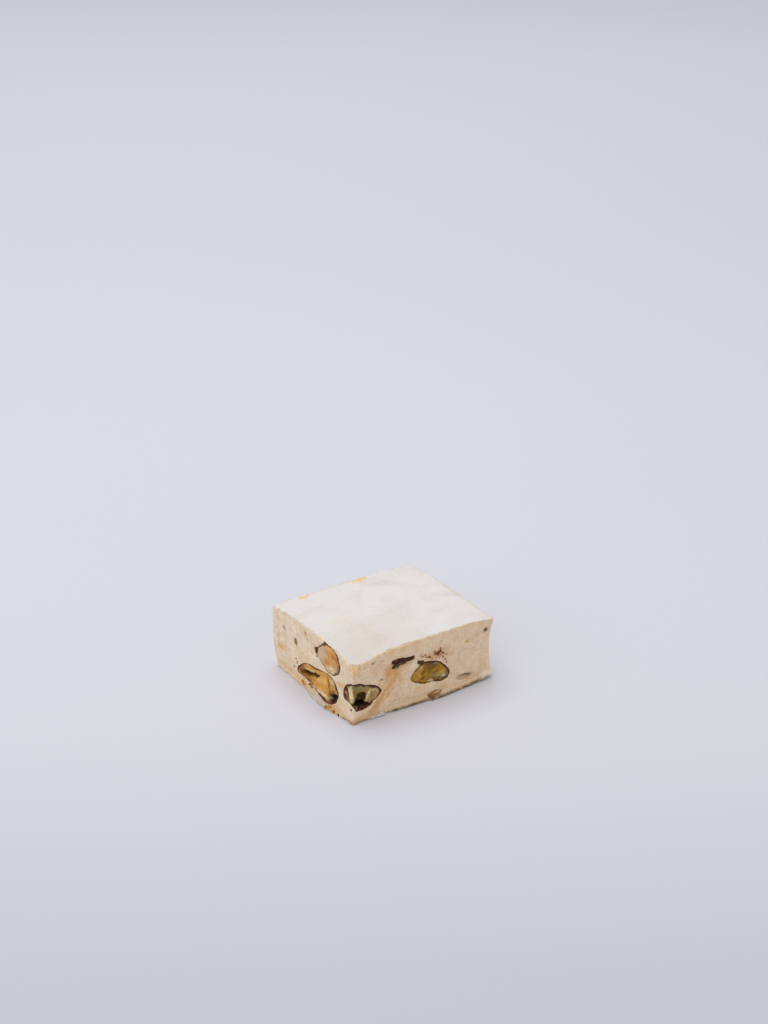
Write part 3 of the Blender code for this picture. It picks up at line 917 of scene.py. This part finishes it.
# fine brown dots of husk, dragged over the face above the front pistachio and round the star
dotSpreads = (
    {"count": 26, "middle": (26.6, 13.8), "size": (2.0, 0.3), "turn": -20, "radius": (0.12, 0.34)},
    {"count": 14, "middle": (32.0, 11.8), "size": (1.0, 0.7), "turn": -40, "radius": (0.1, 0.28)},
    {"count": 26, "middle": (30.3, 14.4), "size": (1.0, 0.7), "turn": 20, "radius": (0.1, 0.3)},
    {"count": 5, "middle": (21.4, 17.4), "size": (0.3, 0.8), "turn": 0, "radius": (0.06, 0.12)},
)
dotTints = ("#96613a", "#b27c4e", "#7c4a29", "#a3704a")
for dots in dotSpreads:
    smallest, largest = dots["radius"]
    for number in range(dots["count"]):
        u, v = turned(*random.normal(size=2) * dots["size"], dots["turn"])
        radius = smallest + (largest - smallest) * random.random() ** 2
        size = (radius * random.uniform(1, 1.9), radius, 0.08)
        flakes.append(fragmentMesh((dots["middle"][0] + u, dots["middle"][1] + v, -0.03), size,
                                   random.uniform(0, 180), dotTints[number % 4], 300 + number))
finishPiece("husk_fragments", joinMeshes(flakes, "huskFragments"), skinLook, "nut_skin", "skin_sliver_front")


print("torrone: nougat")

nougat = {
    "cell": 0.24,
    "foot": 0.2,
    "top": 20.34,
    "cream": "#f2dec3",
    # painted shade inside the bubbles and sockets
    "hollow": "#cdb793",
    "topRim": "#f2e1bf",
    "footRim": "#e8c283",
    # painted contact shadow along the front foot, mixed with a brown stain of nut oil
    "footShadowAndGrime": "#4f3b1e",
    # painted shade on the front face: how much each channel is darkened
    "paintedFrontShade": (0.045, 0.085, 0.14),
    "shoulder": (4.5, 15.6),        # the corner's radius at the top, and the height where it starts
    "squash": 0.98,                 # how far the front foot, the left foot and the lip reach out
    "toe": 0.4,
    "lip": 0.45,
    # the profile below and above the wall: how far in from the face, and its height
    "footProfile": ((8.0, 0.62), (3.0, 0.62), (1.1, 0.58), (0.75, 0.45), (0.42, 0.25), (0.16, 0.2)),
    "topProfile": ((0.03, 20.24), (0.1, 20.46), (0.24, 20.6), (0.45, 20.62), (0.8, 20.5), (1.6, 20.44),
                   (3.0, 20.4), (8.0, 20.34)),
}

nougatDabs = (
    # the tan smear of nut oil that the knife drew down from the sliver to the foot
    dab(11.8, 8.6, 7.0, 2.2, "#eccb97", 1, 50, 0.6),
    dab(14.2, 14.4, 2.6, 1.6, "#d9a466", 0.8, 10, 0.8),
    dab(12.5, 12.8, 2.0, 0.8, "#dea962", 0.8, 62, 0.85),
    dab(14.0, 10.4, 2.6, 0.7, "#e0ae6a", 0.8, 46, 0.75),
    dab(10.4, 6.8, 3.4, 0.6, "#e0ae6a", 0.8, 48, 0.8),
    dab(11.6, 5.8, 2.4, 0.3, "#d9a55f", 0.8, 50, 0.6),
    dab(8.0, 3.4, 3.0, 1.0, "#deac68", 0.9, 56, 0.8),
    dab(6.6, 2.6, 2.2, 0.3, "#cf9850", 0.8, 58, 0.7),
    dab(18.8, 14.2, 2.4, 0.8, "#e4c496", 0.6, 16, 0.8, 0.1),
    dab(19.6, 15.2, 1.4, 0.3, "#a9784a", 0.7, 10, 0.8),
    # browned halos round the front pistachio and its dots
    dab(28.6, 13.9, 4.4, 0.9, "#d3a878", 0.9, -12, 0.6),
    dab(30.3, 14.3, 1.6, 1.1, "#bd875a", 0.9, 20, 0.6),
    dab(21.4, 12.6, 1.0, 0.8, "#f6e8cd", 0.7, 0, 0.8, 0.12),
    # the upright streaks by the near corner and at the left end, and golden spots beside them
    dab(0.1, 17.3, 0.35, 2.3, "#dba968", 0.6, 0, 0.8),
    dab(1.8, 17.6, 0.3, 1.8, "#dfb277", 0.6, 0, 0.75),
    dab(0.9, 17.2, 0.3, 2.2, "#fbf2de", 0.6, 0, 0.8, 0.08),
    dab(-0.9, 16.8, 0.3, 2.4, "#f6e8ca", 0.6, 0, 0.7),
    dab(-1.8, 17.6, 0.25, 1.6, "#dfb880", 0.6, 0, 0.6),
    dab(-41.6, 12.5, 0.3, 7.0, "#d9ab68", 0.7, 0, 0.7),
    dab(-40.4, 13.0, 0.25, 7.0, "#f8ecd2", 0.7, 0, 0.5),
    dab(-39.2, 13.5, 0.3, 6.0, "#dcb87f", 0.7, 0, 0.55),
    dab(-36.6, 13.5, 0.3, 6.0, "#d8b17a", 0.7, 0, 0.5),
    dab(-34.2, 14.5, 0.25, 5.0, "#e0bd8a", 0.7, 0, 0.5),
    dab(-32.6, 15.5, 0.3, 4.0, "#f8ecd2", 0.7, 0, 0.5),
    dab(-30.4, 16.5, 0.3, 3.5, "#dcb883", 0.7, 0, 0.5),
    dab(-28.2, 17.0, 0.25, 3.0, "#dcb883", 0.7, 0, 0.5),
    dab(-25.7, 18.2, 0.4, 0.9, "#c98a3e", 0.5, 6, 0.9, -0.1),
    dab(-24.9, 17.0, 0.35, 1.0, "#e0b066", 0.6, 20, 0.8),
    dab(-38.3, 7.8, 1.3, 0.45, "#e6b95f", 0.6, -38, 0.85),
    # a paler place high on the left face, and warmer nougat along both feet
    dab(-35.0, 15.0, 7.0, 5.5, "#f7ead8", 0.9, 0, 0.45),
    dab(-22.0, 1.2, 16.0, 1.6, "#d9b078", 0.9, 0, 0.55),
    dab(-10.0, 1.0, 4.0, 1.5, "#cf9a5c", 0.8, 0, 0.6),
    dab(1.6, 1.2, 5.0, 0.8, "#d8a868", 0.9, 6, 0.5),
    dab(28.0, 1.4, 19.0, 1.4, "#d4b080", 0.9, 0, 0.25),
    # the broad golden smear beside the sliver, and golden places by the corner and the left almond
    dab(13.6, 13.0, 2.8, 2.4, "#dfb076", 0.8, 20, 0.6),
    dab(0.1, 17.2, 1.5, 2.0, "#e4c08c", 0.7, 0, 0.6),
    dab(-6.4, 10.2, 1.8, 0.7, "#e0b368", 0.8, 14, 0.8),
    dab(2.2, 19.9, 0.7, 0.4, "#efc97c", 0.6, 0, 0.9),
    dab(6.7, 18.1, 0.6, 0.35, "#a08c74", 0.6, 10, 0.8, -0.15),
    dab(3.9, 17.6, 0.8, 0.3, "#b9a98c", 0.7, 20, 0.7),
    dab(9.6, 11.3, 0.55, 0.4, "#938160", 0.6, 0, 0.8, -0.15),
    dab(21.7, 13.5, 0.9, 0.5, "#f7ead2", 0.7, 20, 0.8, 0.1),
    # under the left almonds the wafer's torn edge is stuck to the foot
    dab(-17.4, 0.4, 6.0, 1.1, "#cbc6ca", 0.4, 2, 0.95),
    # a thin line that a crumb scratched along the front
    dab(15.0, 3.3, 3.2, 0.16, "#cf9f62", 0.8, -8, 0.6),
    dab(22.0, 1.8, 3.6, 0.15, "#cf9f62", 0.8, -14, 0.5),
    # the long burst bubble low in the front: painted shadow darkens its inside, and a painted highlight lies
    # on its pale lower lip
    dab(40.0, 3.5, 2.0, 0.65, "#7f6c4c", 0.6, -4, 0.9),
    dab(37.9, 2.75, 2.0, 0.4, "#fbf0d8", 0.6, -8, 0.9),
    # a painted highlight on the lip at the foot of the right corner, which turns out and up to the light
    dab(47.0, 1.2, 3.0, 1.0, "#faf1e2", 0.6, 6, 0.85),
    # stained bubbles
    dab(-31.5, 12.6, 1.0, 1.2, "#94793c", 0.5, 10, 0.9),
    dab(-36.8, 14.9, 0.6, 0.55, "#b3956a", 0.5, 0, 0.8),
    dab(46.6, 16.9, 0.8, 0.7, "#8c6a45", 0.5, 0, 0.85),
    dab(40.6, 14.8, 0.5, 0.45, "#d9b25c", 0.5, 0, 0.9),
    dab(-32.2, 4.0, 0.5, 0.4, "#c79a58", 0.5, 0, 0.8),
)

# yellow spots where the rim has dried, more of them along the front
rimSpots = [random.uniform(0, 48) for number in range(22)]
rimSpots += [random.uniform(-91, 91) for number in range(14)]
nougatDabs += tuple(
    dab(along, 20.5, random.uniform(0.3, 1.3), random.uniform(0.2, 0.45),
        ("#ebc684", "#f0dcb2")[number % 2], 0.8, random.uniform(-10, 10), 0.6)
    for number, along in enumerate(rimSpots) if along < 47)

# air bubbles and dimples: place on the strip, half length, half height, depth, turn
bubbles = (
    (39.2, 3.4, 2.8, 1.05, 1.3, -4), (46.6, 16.9, 0.62, 0.55, 0.9, 0), (40.6, 14.8, 0.4, 0.35, 0.4, 0),
    (31.0, 17.9, 0.4, 0.3, 0.4, 0), (35.8, 16.6, 0.3, 0.35, 0.35, 0), (42.6, 9.7, 0.4, 0.3, 0.4, 20),
    (47.6, 8.7, 0.35, 0.35, 0.4, 0), (6.7, 18.0, 0.45, 0.3, 0.4, 0), (3.7, 17.7, 0.3, 0.25, 0.3, 0),
    (9.7, 11.2, 0.45, 0.3, 0.4, 10), (14.4, 9.5, 0.5, 0.35, 0.4, 10), (17.0, 6.6, 0.4, 0.3, 0.35, 0),
    (35.9, 6.5, 0.3, 0.3, 0.3, 0), (-36.8, 14.9, 0.55, 0.5, 0.7, 0), (-31.5, 12.6, 0.75, 1.0, 0.7, 10),
    (-35.2, 12.6, 0.35, 0.3, 0.35, 0), (-32.2, 4.0, 0.45, 0.35, 0.5, 0), (-39.4, 16.6, 0.3, 0.4, 0.3, 0),
    (-22.4, 14.8, 0.3, 0.3, 0.3, 0), (-24.6, 12.4, 0.35, 0.25, 0.3, 0),
)


def bubbleCutter(along, height, long, wide, deep, turn, seed):
    mesh, points, u, v = lumpyBall((long, wide, deep), turn, 3, ((0.25, 0.8, seed),))
    place(mesh, plainWall(along + u, height + v, points[:, 2] + 0.12)[0])
    return mesh


# more small bubbles everywhere, clear of the nuts and of each other
taken = [(details[0], details[1], 1.2 + max(details[2:4])) for details in bubbles]
for name, nut in nuts.items():
    middle = nutMiddle(name, nut["face"])
    for u, v in closedCurve(nut["points"], 24):
        for share in (0, 0.35, 0.7, 1):
            taken.append((middle[0] + u * share, middle[1] + v * share, 2.0))
scattered = []
while len(scattered) < 64:
    along = random.uniform(-girth / 2, girth / 2)
    height = random.uniform(1.5, 19.2)
    if all(math.hypot(along - a, height - h) > r for a, h, r in taken):
        radius = 0.16 + 0.3 * random.random() ** 3
        scattered.append((along, height, radius, radius * random.uniform(0.7, 1), radius, 0))
        taken.append((along, height, 1.2 + radius))
for number, details in enumerate(bubbles + tuple(scattered)):
    cutters.append(bubbleCutter(*details, 700 + number))


def nougatMesh():
    walls = math.ceil((nougat["top"] - 0.25 - nougat["foot"]) / nougat["cell"])
    heights = np.linspace(nougat["foot"] + 0.25, nougat["top"] - 0.35, walls)
    profile = nougat["footProfile"] + tuple((0.0, h) for h in heights) + nougat["topProfile"]
    profile = np.array(profile)
    columns = round(girth / nougat["cell"])
    bm = bmesh.new()
    bmesh.ops.create_grid(bm, x_segments=columns, y_segments=len(profile) - 1, size=1)
    mesh = toMesh(bm, "nougatWall")
    points = positions(mesh)
    along = points[:, 0] * girth / 2
    row = np.rint((points[:, 1] + 1) / 2 * (len(profile) - 1)).astype(int)
    inset, height = profile[row].T
    x, y, way = outline(along)
    flat = np.column_stack([x, y, height])
    place(mesh, flat - way * inset[:, None])
    bm = bmesh.new()
    bm.from_mesh(mesh)
    bpy.data.meshes.remove(mesh)
    bmesh.ops.remove_doubles(bm, verts=bm.verts, dist=0.0005)
    rims = [edge for edge in bm.edges if edge.is_boundary]
    bmesh.ops.holes_fill(bm, edges=rims, sides=0)
    bmesh.ops.recalc_face_normals(bm, faces=bm.faces)
    return toMesh(bm, "nougatWall")


def cutAway(mesh, cutterMesh):
    body = newObject("body", mesh)
    cutter = newObject("cutter", cutterMesh)
    cut = body.modifiers.new("cut", "BOOLEAN")
    cut.object = cutter
    cut.operation = "DIFFERENCE"
    cut.solver = "MANIFOLD"
    graph = bpy.context.evaluated_depsgraph_get()
    result = bpy.data.meshes.new_from_object(body.evaluated_get(graph))
    for thing in (body, cutter):
        bpy.data.objects.remove(thing)
    return result


whole = nougatMesh()
before = len(whole.vertices)
nougatBody = cutAway(whole, turnOutward(joinMeshes(cutters, "cutters")))
print("  nougat vertices before and after the cuts:", before, len(nougatBody.vertices))

points = positions(nougatBody)
along, height, outward, way = wallPlace(points)
colours = np.tile(toLinear(nougat["cream"]), (len(points), 1))
colours = colours * (1 + 0.05 * lumps(points, 3.5, 21) + 0.03 * lumps(points, 1.2, 22))[:, None]
colours, lift = layDabs(along, height, colours, 0 * along, nougatDabs, 0.4, 23)
# painted shade: the foam is painted darker inside the bubbles and the nuts' sockets, where shade falls
inside = softStep((-outward - 0.05) / 0.25)[:, None]
colours = colours * (1 - 0.3 * inside * (1 - np.array(toLinear(nougat["hollow"]))))
# the rims are drier and yellower, and they crumble
topRim = softStep((points[:, 2] - nougat["top"] + 0.9) / 0.8) * softStep((2.5 + outward) / 2)
footRim = softStep((1.3 - points[:, 2]) / 1.2)
rightSide = softStep((along - 47) / 3)
dried = softStep(0.5 + 0.7 * lumps(points, 1.6, 26))
colours = tinted(colours, nougat["topRim"], 0.5 * topRim * (1 - rightSide) * dried)
colours = tinted(colours, nougat["footRim"], 0.6 * footRim * dried)
# along the front foot a dark brown band is painted: partly painted contact shadow where the foot meets the
# floor, partly the nut oil and grime that the nougat soaked up
footShadowAndGrime = np.maximum(between(along, 11, 46, 2), 0.5 * (np.abs(along) < 5))
footShadowAndGrime = footShadowAndGrime * softStep((1.15 - height) / 0.45) * softStep(0.75 + 0.6 * lumps(points, 1.3, 30))
colours = tinted(colours, nougat["footShadowAndGrime"], 0.9 * footShadowAndGrime)
# painted shade: the front face is painted a little darker and warmer than the left face, as it gets less
# light
onFront = between(along, -2, 50, 4)[:, None]
colours = colours * (1 - onFront * nougat["paintedFrontShade"])
ragged = lumps(points, 1.1, 24) + 0.6 * lumps(points, 0.45, 25)
lift = lift + knifeRelief(points) * atFace(outward) + (0.24 * topRim + 0.26 * footRim) * ragged
moved = points + way * lift[:, None]
# the near corner is pressed in under the wafer's round tip, so it is rounder towards the top
radius, start = nougat["shoulder"]
sharp = np.column_stack(outline(along)[:2])
blunt = np.column_stack(outline(along, radius)[:2])
press = softStep((height - start) / 3.4) * (np.abs(along) < radius)
moved[:, :2] += (blunt - sharp) * press[:, None]
crumbly = np.abs(0.26 * lumps(points, 0.9, 27) + 0.14 * lumps(points, 0.4, 29))
moved[:, 2] += topRim * (1 - 0.6 * rightSide) * crumbly
# the front foot is squashed out over the floor, the left foot less so, and the right
# corner's lip turns out
squash = between(along, 11, 47, 3) * softStep(1.6 - points[:, 2])
toe = between(along, -44, -2, 4, 5) * softStep(1.4 - points[:, 2])
lip = between(along, 43.6, 50.5, 2) * softStep((3.0 - height) / 2.6)
moved += way * (nougat["squash"] * squash + nougat["toe"] * toe + nougat["lip"] * lip)[:, None]
moved[:, 2] -= 0.1 * squash + 0.25 * toe
moved[:, 2] += 0.14 * footRim * softStep((0.9 - points[:, 2]) / 0.6) * (lumps(points, 1.0, 28) + 0.2)
moved = settle(moved)
moved[:, 2] = np.maximum(moved[:, 2], 0.03)
place(nougatBody, moved)
paint(nougatBody, colours)
finishPiece("nougat_body", nougatBody, nougatLook, "nougat", "nougat")


print("torrone: wafers")


def waferMesh(sheet):
    columns = round(2 * sheet["halfX"] / sheet["cell"])
    rows = round(2 * sheet["halfY"] / sheet["cell"])
    bm = bmesh.new()
    bmesh.ops.create_grid(bm, x_segments=columns, y_segments=rows, size=1)
    mesh = toMesh(bm, "wafer")
    points = positions(mesh)
    x = points[:, 0] * sheet["halfX"]
    y = points[:, 1] * sheet["halfY"]
    for sideX, sideY, radius in sheet["corners"]:
        p = (sideX * x - sheet["halfX"] + radius) / radius
        q = (sideY * y - sheet["halfY"] + radius) / radius
        inside = (p > 0) & (q > 0)
        roundX = sideX * (sheet["halfX"] - radius + radius * p * np.sqrt(np.maximum(1 - q * q / 2, 0)))
        roundY = sideY * (sheet["halfY"] - radius + radius * q * np.sqrt(np.maximum(1 - p * p / 2, 0)))
        x, y = np.where(inside, roundX, x), np.where(inside, roundY, y)
    flat = onFlat(x, y)
    seed = sheet["seed"]
    stray = lumps(flat, 2.4, seed) + 0.7 * lumps(flat, 0.8, seed + 1) + 0.4 * lumps(flat, 0.4, seed + 7)
    stray = sheet["ragged"] * stray
    edgeX = np.exp(-(sheet["halfX"] - np.abs(x)) / 0.9)
    edgeY = np.exp(-(sheet["halfY"] - np.abs(y)) / 0.9)
    moveX = np.sign(x) * edgeX * stray
    moveY = np.sign(y) * edgeY * stray
    for at, half, inset in sheet["ledges"]:
        # along the front the sheet stops short of the face
        moveY = moveY + inset * (y < 0) * edgeY * softStep((1 - np.abs(x - at) / half) * 2)
    rise = 0.10 * lumps(flat, 9.0, seed + 2) + 0.05 * lumps(flat, 3.0, seed + 3)
    rise = rise + 0.025 * lumps(flat, 1.1, seed + 4) - 0.17 * np.maximum(edgeX, edgeY) ** 2
    rise = sheet["wavy"] * rise
    for flap in sheet["flaps"]:
        # a torn bit of the sheet that reaches out from under the block
        along, across = (y, -x) if flap["side"] == "left" else (x, -y)
        half = sheet["halfX"] if flap["side"] == "left" else sheet["halfY"]
        tear = 1 + 0.35 * lumps(flat, 1.4, seed + 5)
        shape = softStep((1 - np.abs(along - flap["at"]) / flap["half"]) * 2.2) * tear
        out = np.exp(-(half - across) / 1.2) * shape
        if flap["side"] == "left":
            moveX = moveX - flap["reach"] * out
        else:
            moveY = moveY - flap["reach"] * out
        rise = rise + flap["rise"] * out
    x, y = x + moveX, y + moveY
    points = settle(np.column_stack([x, y, sheet["height"] + rise]))
    points[:, 2] = np.maximum(points[:, 2], sheet["floor"])
    place(mesh, points)
    colours = np.tile(toLinear(sheet["white"]), (len(x), 1))
    paint(mesh, layDabs(x, y, colours, 0 * x, sheet["dabs"], 0.9, seed + 6)[0])
    return mesh


topSheet = {
    "halfX": 24.42, "halfY": 20.92, "cell": 0.28, "height": 20.76, "thickness": 0.18, "floor": 1.0,
    "corners": ((-1, -1, 4.5), (1, -1, 1.2), (-1, 1, 1.4), (1, 1, 2.5)),
    "ragged": 0.26, "wavy": 1.0, "seed": 31, "white": "#e5e1df",
    "ledges": ((-7.0, 17.0, 0.5), (16.0, 5.0, 0.25)),
    "flaps": (),
    "dabs": (
        dab(8.8, 14.2, 4.2, 1.4, "#d6d4d6", 0.95, -30, 0.7),
        dab(23.0, -3.8, 3.2, 1.4, "#d4d2d5", 0.95, -50, 0.7),
        dab(4.7, 19.7, 2.5, 1.5, "#ecc88c", 0.6, 0, 0.95),
        dab(-14.4, 20.2, 2.4, 0.8, "#efc88c", 0.6, 0, 0.95),
        dab(-9.2, -5.4, 0.8, 0.5, "#ecd5b0", 0.9, 20, 0.7),
        dab(2.0, -4.0, 7.0, 4.5, "#e0dad6", 0.6, 20, 0.7),
        dab(-14.0, 2.0, 4.5, 2.2, "#e9dcc9", 0.9, 10, 0.5),
        dab(-15.0, -14.0, 13.0, 9.0, "#ded2ca", 0.9, 0, 0.75),
    ),
}
bottomSheet = {
    "halfX": 23.7, "halfY": 20.2, "cell": 0.35, "height": 0.34, "thickness": 0.26, "floor": 0.28,
    "corners": ((-1, -1, 1.5), (1, -1, 1.2), (-1, 1, 1.5), (1, 1, 1.5)),
    "ragged": 0.3, "wavy": 0.3, "seed": 41, "white": "#e4dfdb",
    "ledges": ((3.5, 15.5, 1.8),),
    "flaps": (
        {"side": "left", "at": -2.5, "half": 8.5, "reach": 0.9, "rise": 0.05},
        {"side": "front", "at": -16.4, "half": 3.2, "reach": 1.7, "rise": 0.5},
        {"side": "front", "at": 22.4, "half": 2.8, "reach": 1.6, "rise": 1.0},
    ),
    "dabs": (
        dab(-24.0, -4.0, 2.0, 9.0, "#cfcbcd", 0.8, 0, 0.9),
        dab(-15.0, -20.6, 3.0, 1.2, "#e7e2dc", 0.8, 0, 0.6),
    ),
}

for name, sheet, node in (("wafer_sheet_top", topSheet, "wafer_top"),
                          ("wafer_sheet_bottom", bottomSheet, "wafer_bottom")):
    piece = finishPiece(name, waferMesh(sheet), waferLook, "wafer", node)
    thickness = piece.modifiers.new("thickness", "SOLIDIFY")
    thickness.thickness = sheet["thickness"] * 0.001
    thickness.offset = -1


print("torrone: crumbs")

# dry crumbs of nougat that the knife pushed up along the rims: how many, and the ranges of
# their places on the strip, their heights, how far out they lie, and their radii
crumbRows = (
    (60, (0, 48), (20.45, 20.66), (-0.55, -0.12), (0.08, 0.26)),
    (24, (-91, 91), (20.4, 20.55), (-0.5, -0.2), (0.08, 0.2)),
    (30, (-91, 0), (0.3, 0.6), (-0.3, -0.05), (0.12, 0.34)),
    (16, (46, 91), (0.3, 0.6), (-0.3, -0.05), (0.12, 0.34)),
)
crumbTints = ("#f3e6cc", "#efd9ae", "#f5ecd9", "#ebcb92")
crumbs = []
for count, places, heights, depths, (smallest, largest) in crumbRows:
    for number in range(count):
        along = random.uniform(*places)
        radius = smallest + (largest - smallest) * random.random() ** 2
        height = max(random.uniform(*heights), radius * 0.9)
        at = (along, height, random.uniform(*depths))
        if height > 20 and (abs(along) < 11 or along > 46):
            # none near the front's corners, where the rim lies lower
            continue
        size = (radius * random.uniform(1, 2.2), radius * random.uniform(0.5, 0.8), radius * 0.8)
        crumbs.append(fragmentMesh(at, size, random.uniform(-25, 25), crumbTints[number % 4], 900 + number))
# a torn bit of wafer stands against the front foot, near the left corner
crumbs.append(fragmentMesh((7.6, 0.8, 0.1), (2.2, 0.6, 0.3), -2, "#c5b9a2", 880, 3))
crumbs.append(fragmentMesh((9.7, 1.0, 0.2), (0.7, 0.35, 0.3), 4, "#ded5c6", 884))
finishPiece("nougat_crumbs", joinMeshes(crumbs, "nougatCrumbs"), nougatLook, "nougat")


print("torrone: studio")

studio = {
    # painted shade on the paper: darkest near the camera, a little darker again at middle distance
    "floor": ((-0.146, "#c8cbd8"), (-0.07, "#d8d8e2"), (0.0, "#dbdce5"), (0.37, "#d3d6e2"),
              (0.7, "#dfe4f0")),       # the paper's tint this many metres along the view
    "view": (0.561, 0.828, 0),         # the way the camera looks over the floor
    "world": "#efefef",
    "worldStrength": 0.60,
    "above": {"at": (0.02, 0.27, 0.9), "size": 0.8, "power": 4.3, "tint": "#ffffff"},
    "left": {"at": (-1.5, -0.17, 0.83), "size": 2.6, "power": 8.9, "tint": "#fffbfb"},
    "front": {"at": (0.35, -0.9, 0.4), "size": 0.6, "power": 0.6, "tint": "#fff1e2"},
}


def seamlessPaper():
    # matt background paper: pale, a little blue, with no tooth that shows at this distance; its colour
    # carries painted shade, darkest towards the camera
    material, tree, shader, spot = newMaterial("seamlessPaper", {
        "Roughness": 0.9, "Specular IOR Level": 0.1})
    # painted shade: the paper's colour changes with distance along the view
    away = addNode(tree, "ShaderNodeVectorMath", {"operation": "DOT_PRODUCT", 1: studio["view"]}, {0: spot})
    near, far = studio["floor"][0][0], studio["floor"][-1][0]
    share = addNode(tree, "ShaderNodeMapRange", {1: near, 2: far, 3: 0.0, 4: 1.0}, {0: away.outputs["Value"]})
    ramp = addNode(tree, "ShaderNodeValToRGB", {}, {0: share.outputs[0]})
    ramp.color_ramp.interpolation = "B_SPLINE"
    stops = ramp.color_ramp.elements
    for number, (distance, tint) in enumerate(studio["floor"]):
        stop = stops[number] if number < 2 else stops.new(1.0)
        stop.position = (distance - near) / (far - near)
        stop.color = (*toLinear(tint), 1)
    tree.links.new(ramp.outputs["Color"], shader.inputs["Base Color"])
    return material


bm = bmesh.new()
bmesh.ops.create_grid(bm, x_segments=1, y_segments=1, size=3)
floorMesh = toMesh(bm, "floor")
floorMesh.materials.append(seamlessPaper())
floor = newObject("floor", floorMesh)

for name in ("above", "left", "front"):
    settings = studio[name]
    lamp = bpy.data.lights.new(name, "AREA")
    lamp.size = settings["size"]
    lamp.energy = settings["power"]
    lamp.color = toLinear(settings["tint"])
    light = newObject(name, lamp)
    light.location = settings["at"]
    light.rotation_euler = (-light.location).to_track_quat("-Z", "Y").to_euler()

world = bpy.data.worlds.new("studio")
world.use_nodes = True
world.node_tree.nodes["Background"].inputs["Color"].default_value = (*toLinear(studio["world"]), 1)
world.node_tree.nodes["Background"].inputs["Strength"].default_value = studio["worldStrength"]
bpy.context.scene.world = world
bpy.context.scene.view_settings.view_transform = "Standard"

view = {"lens": 80, "sensor": 36, "at": (-0.33153, -0.49088, 0.34718), "tilt": 63.626, "turn": -34.137}
camera = bpy.data.cameras.new("camera")
camera.lens = view["lens"]
camera.sensor_fit = "VERTICAL"
camera.sensor_height = view["sensor"]
camera.clip_start = 0.01
eye = newObject("camera", camera)
eye.location = view["at"]
eye.rotation_euler = (math.radians(view["tilt"]), 0, math.radians(view["turn"]))
bpy.context.scene.camera = eye

bpy.context.view_layer.update()

print("torrone: done")
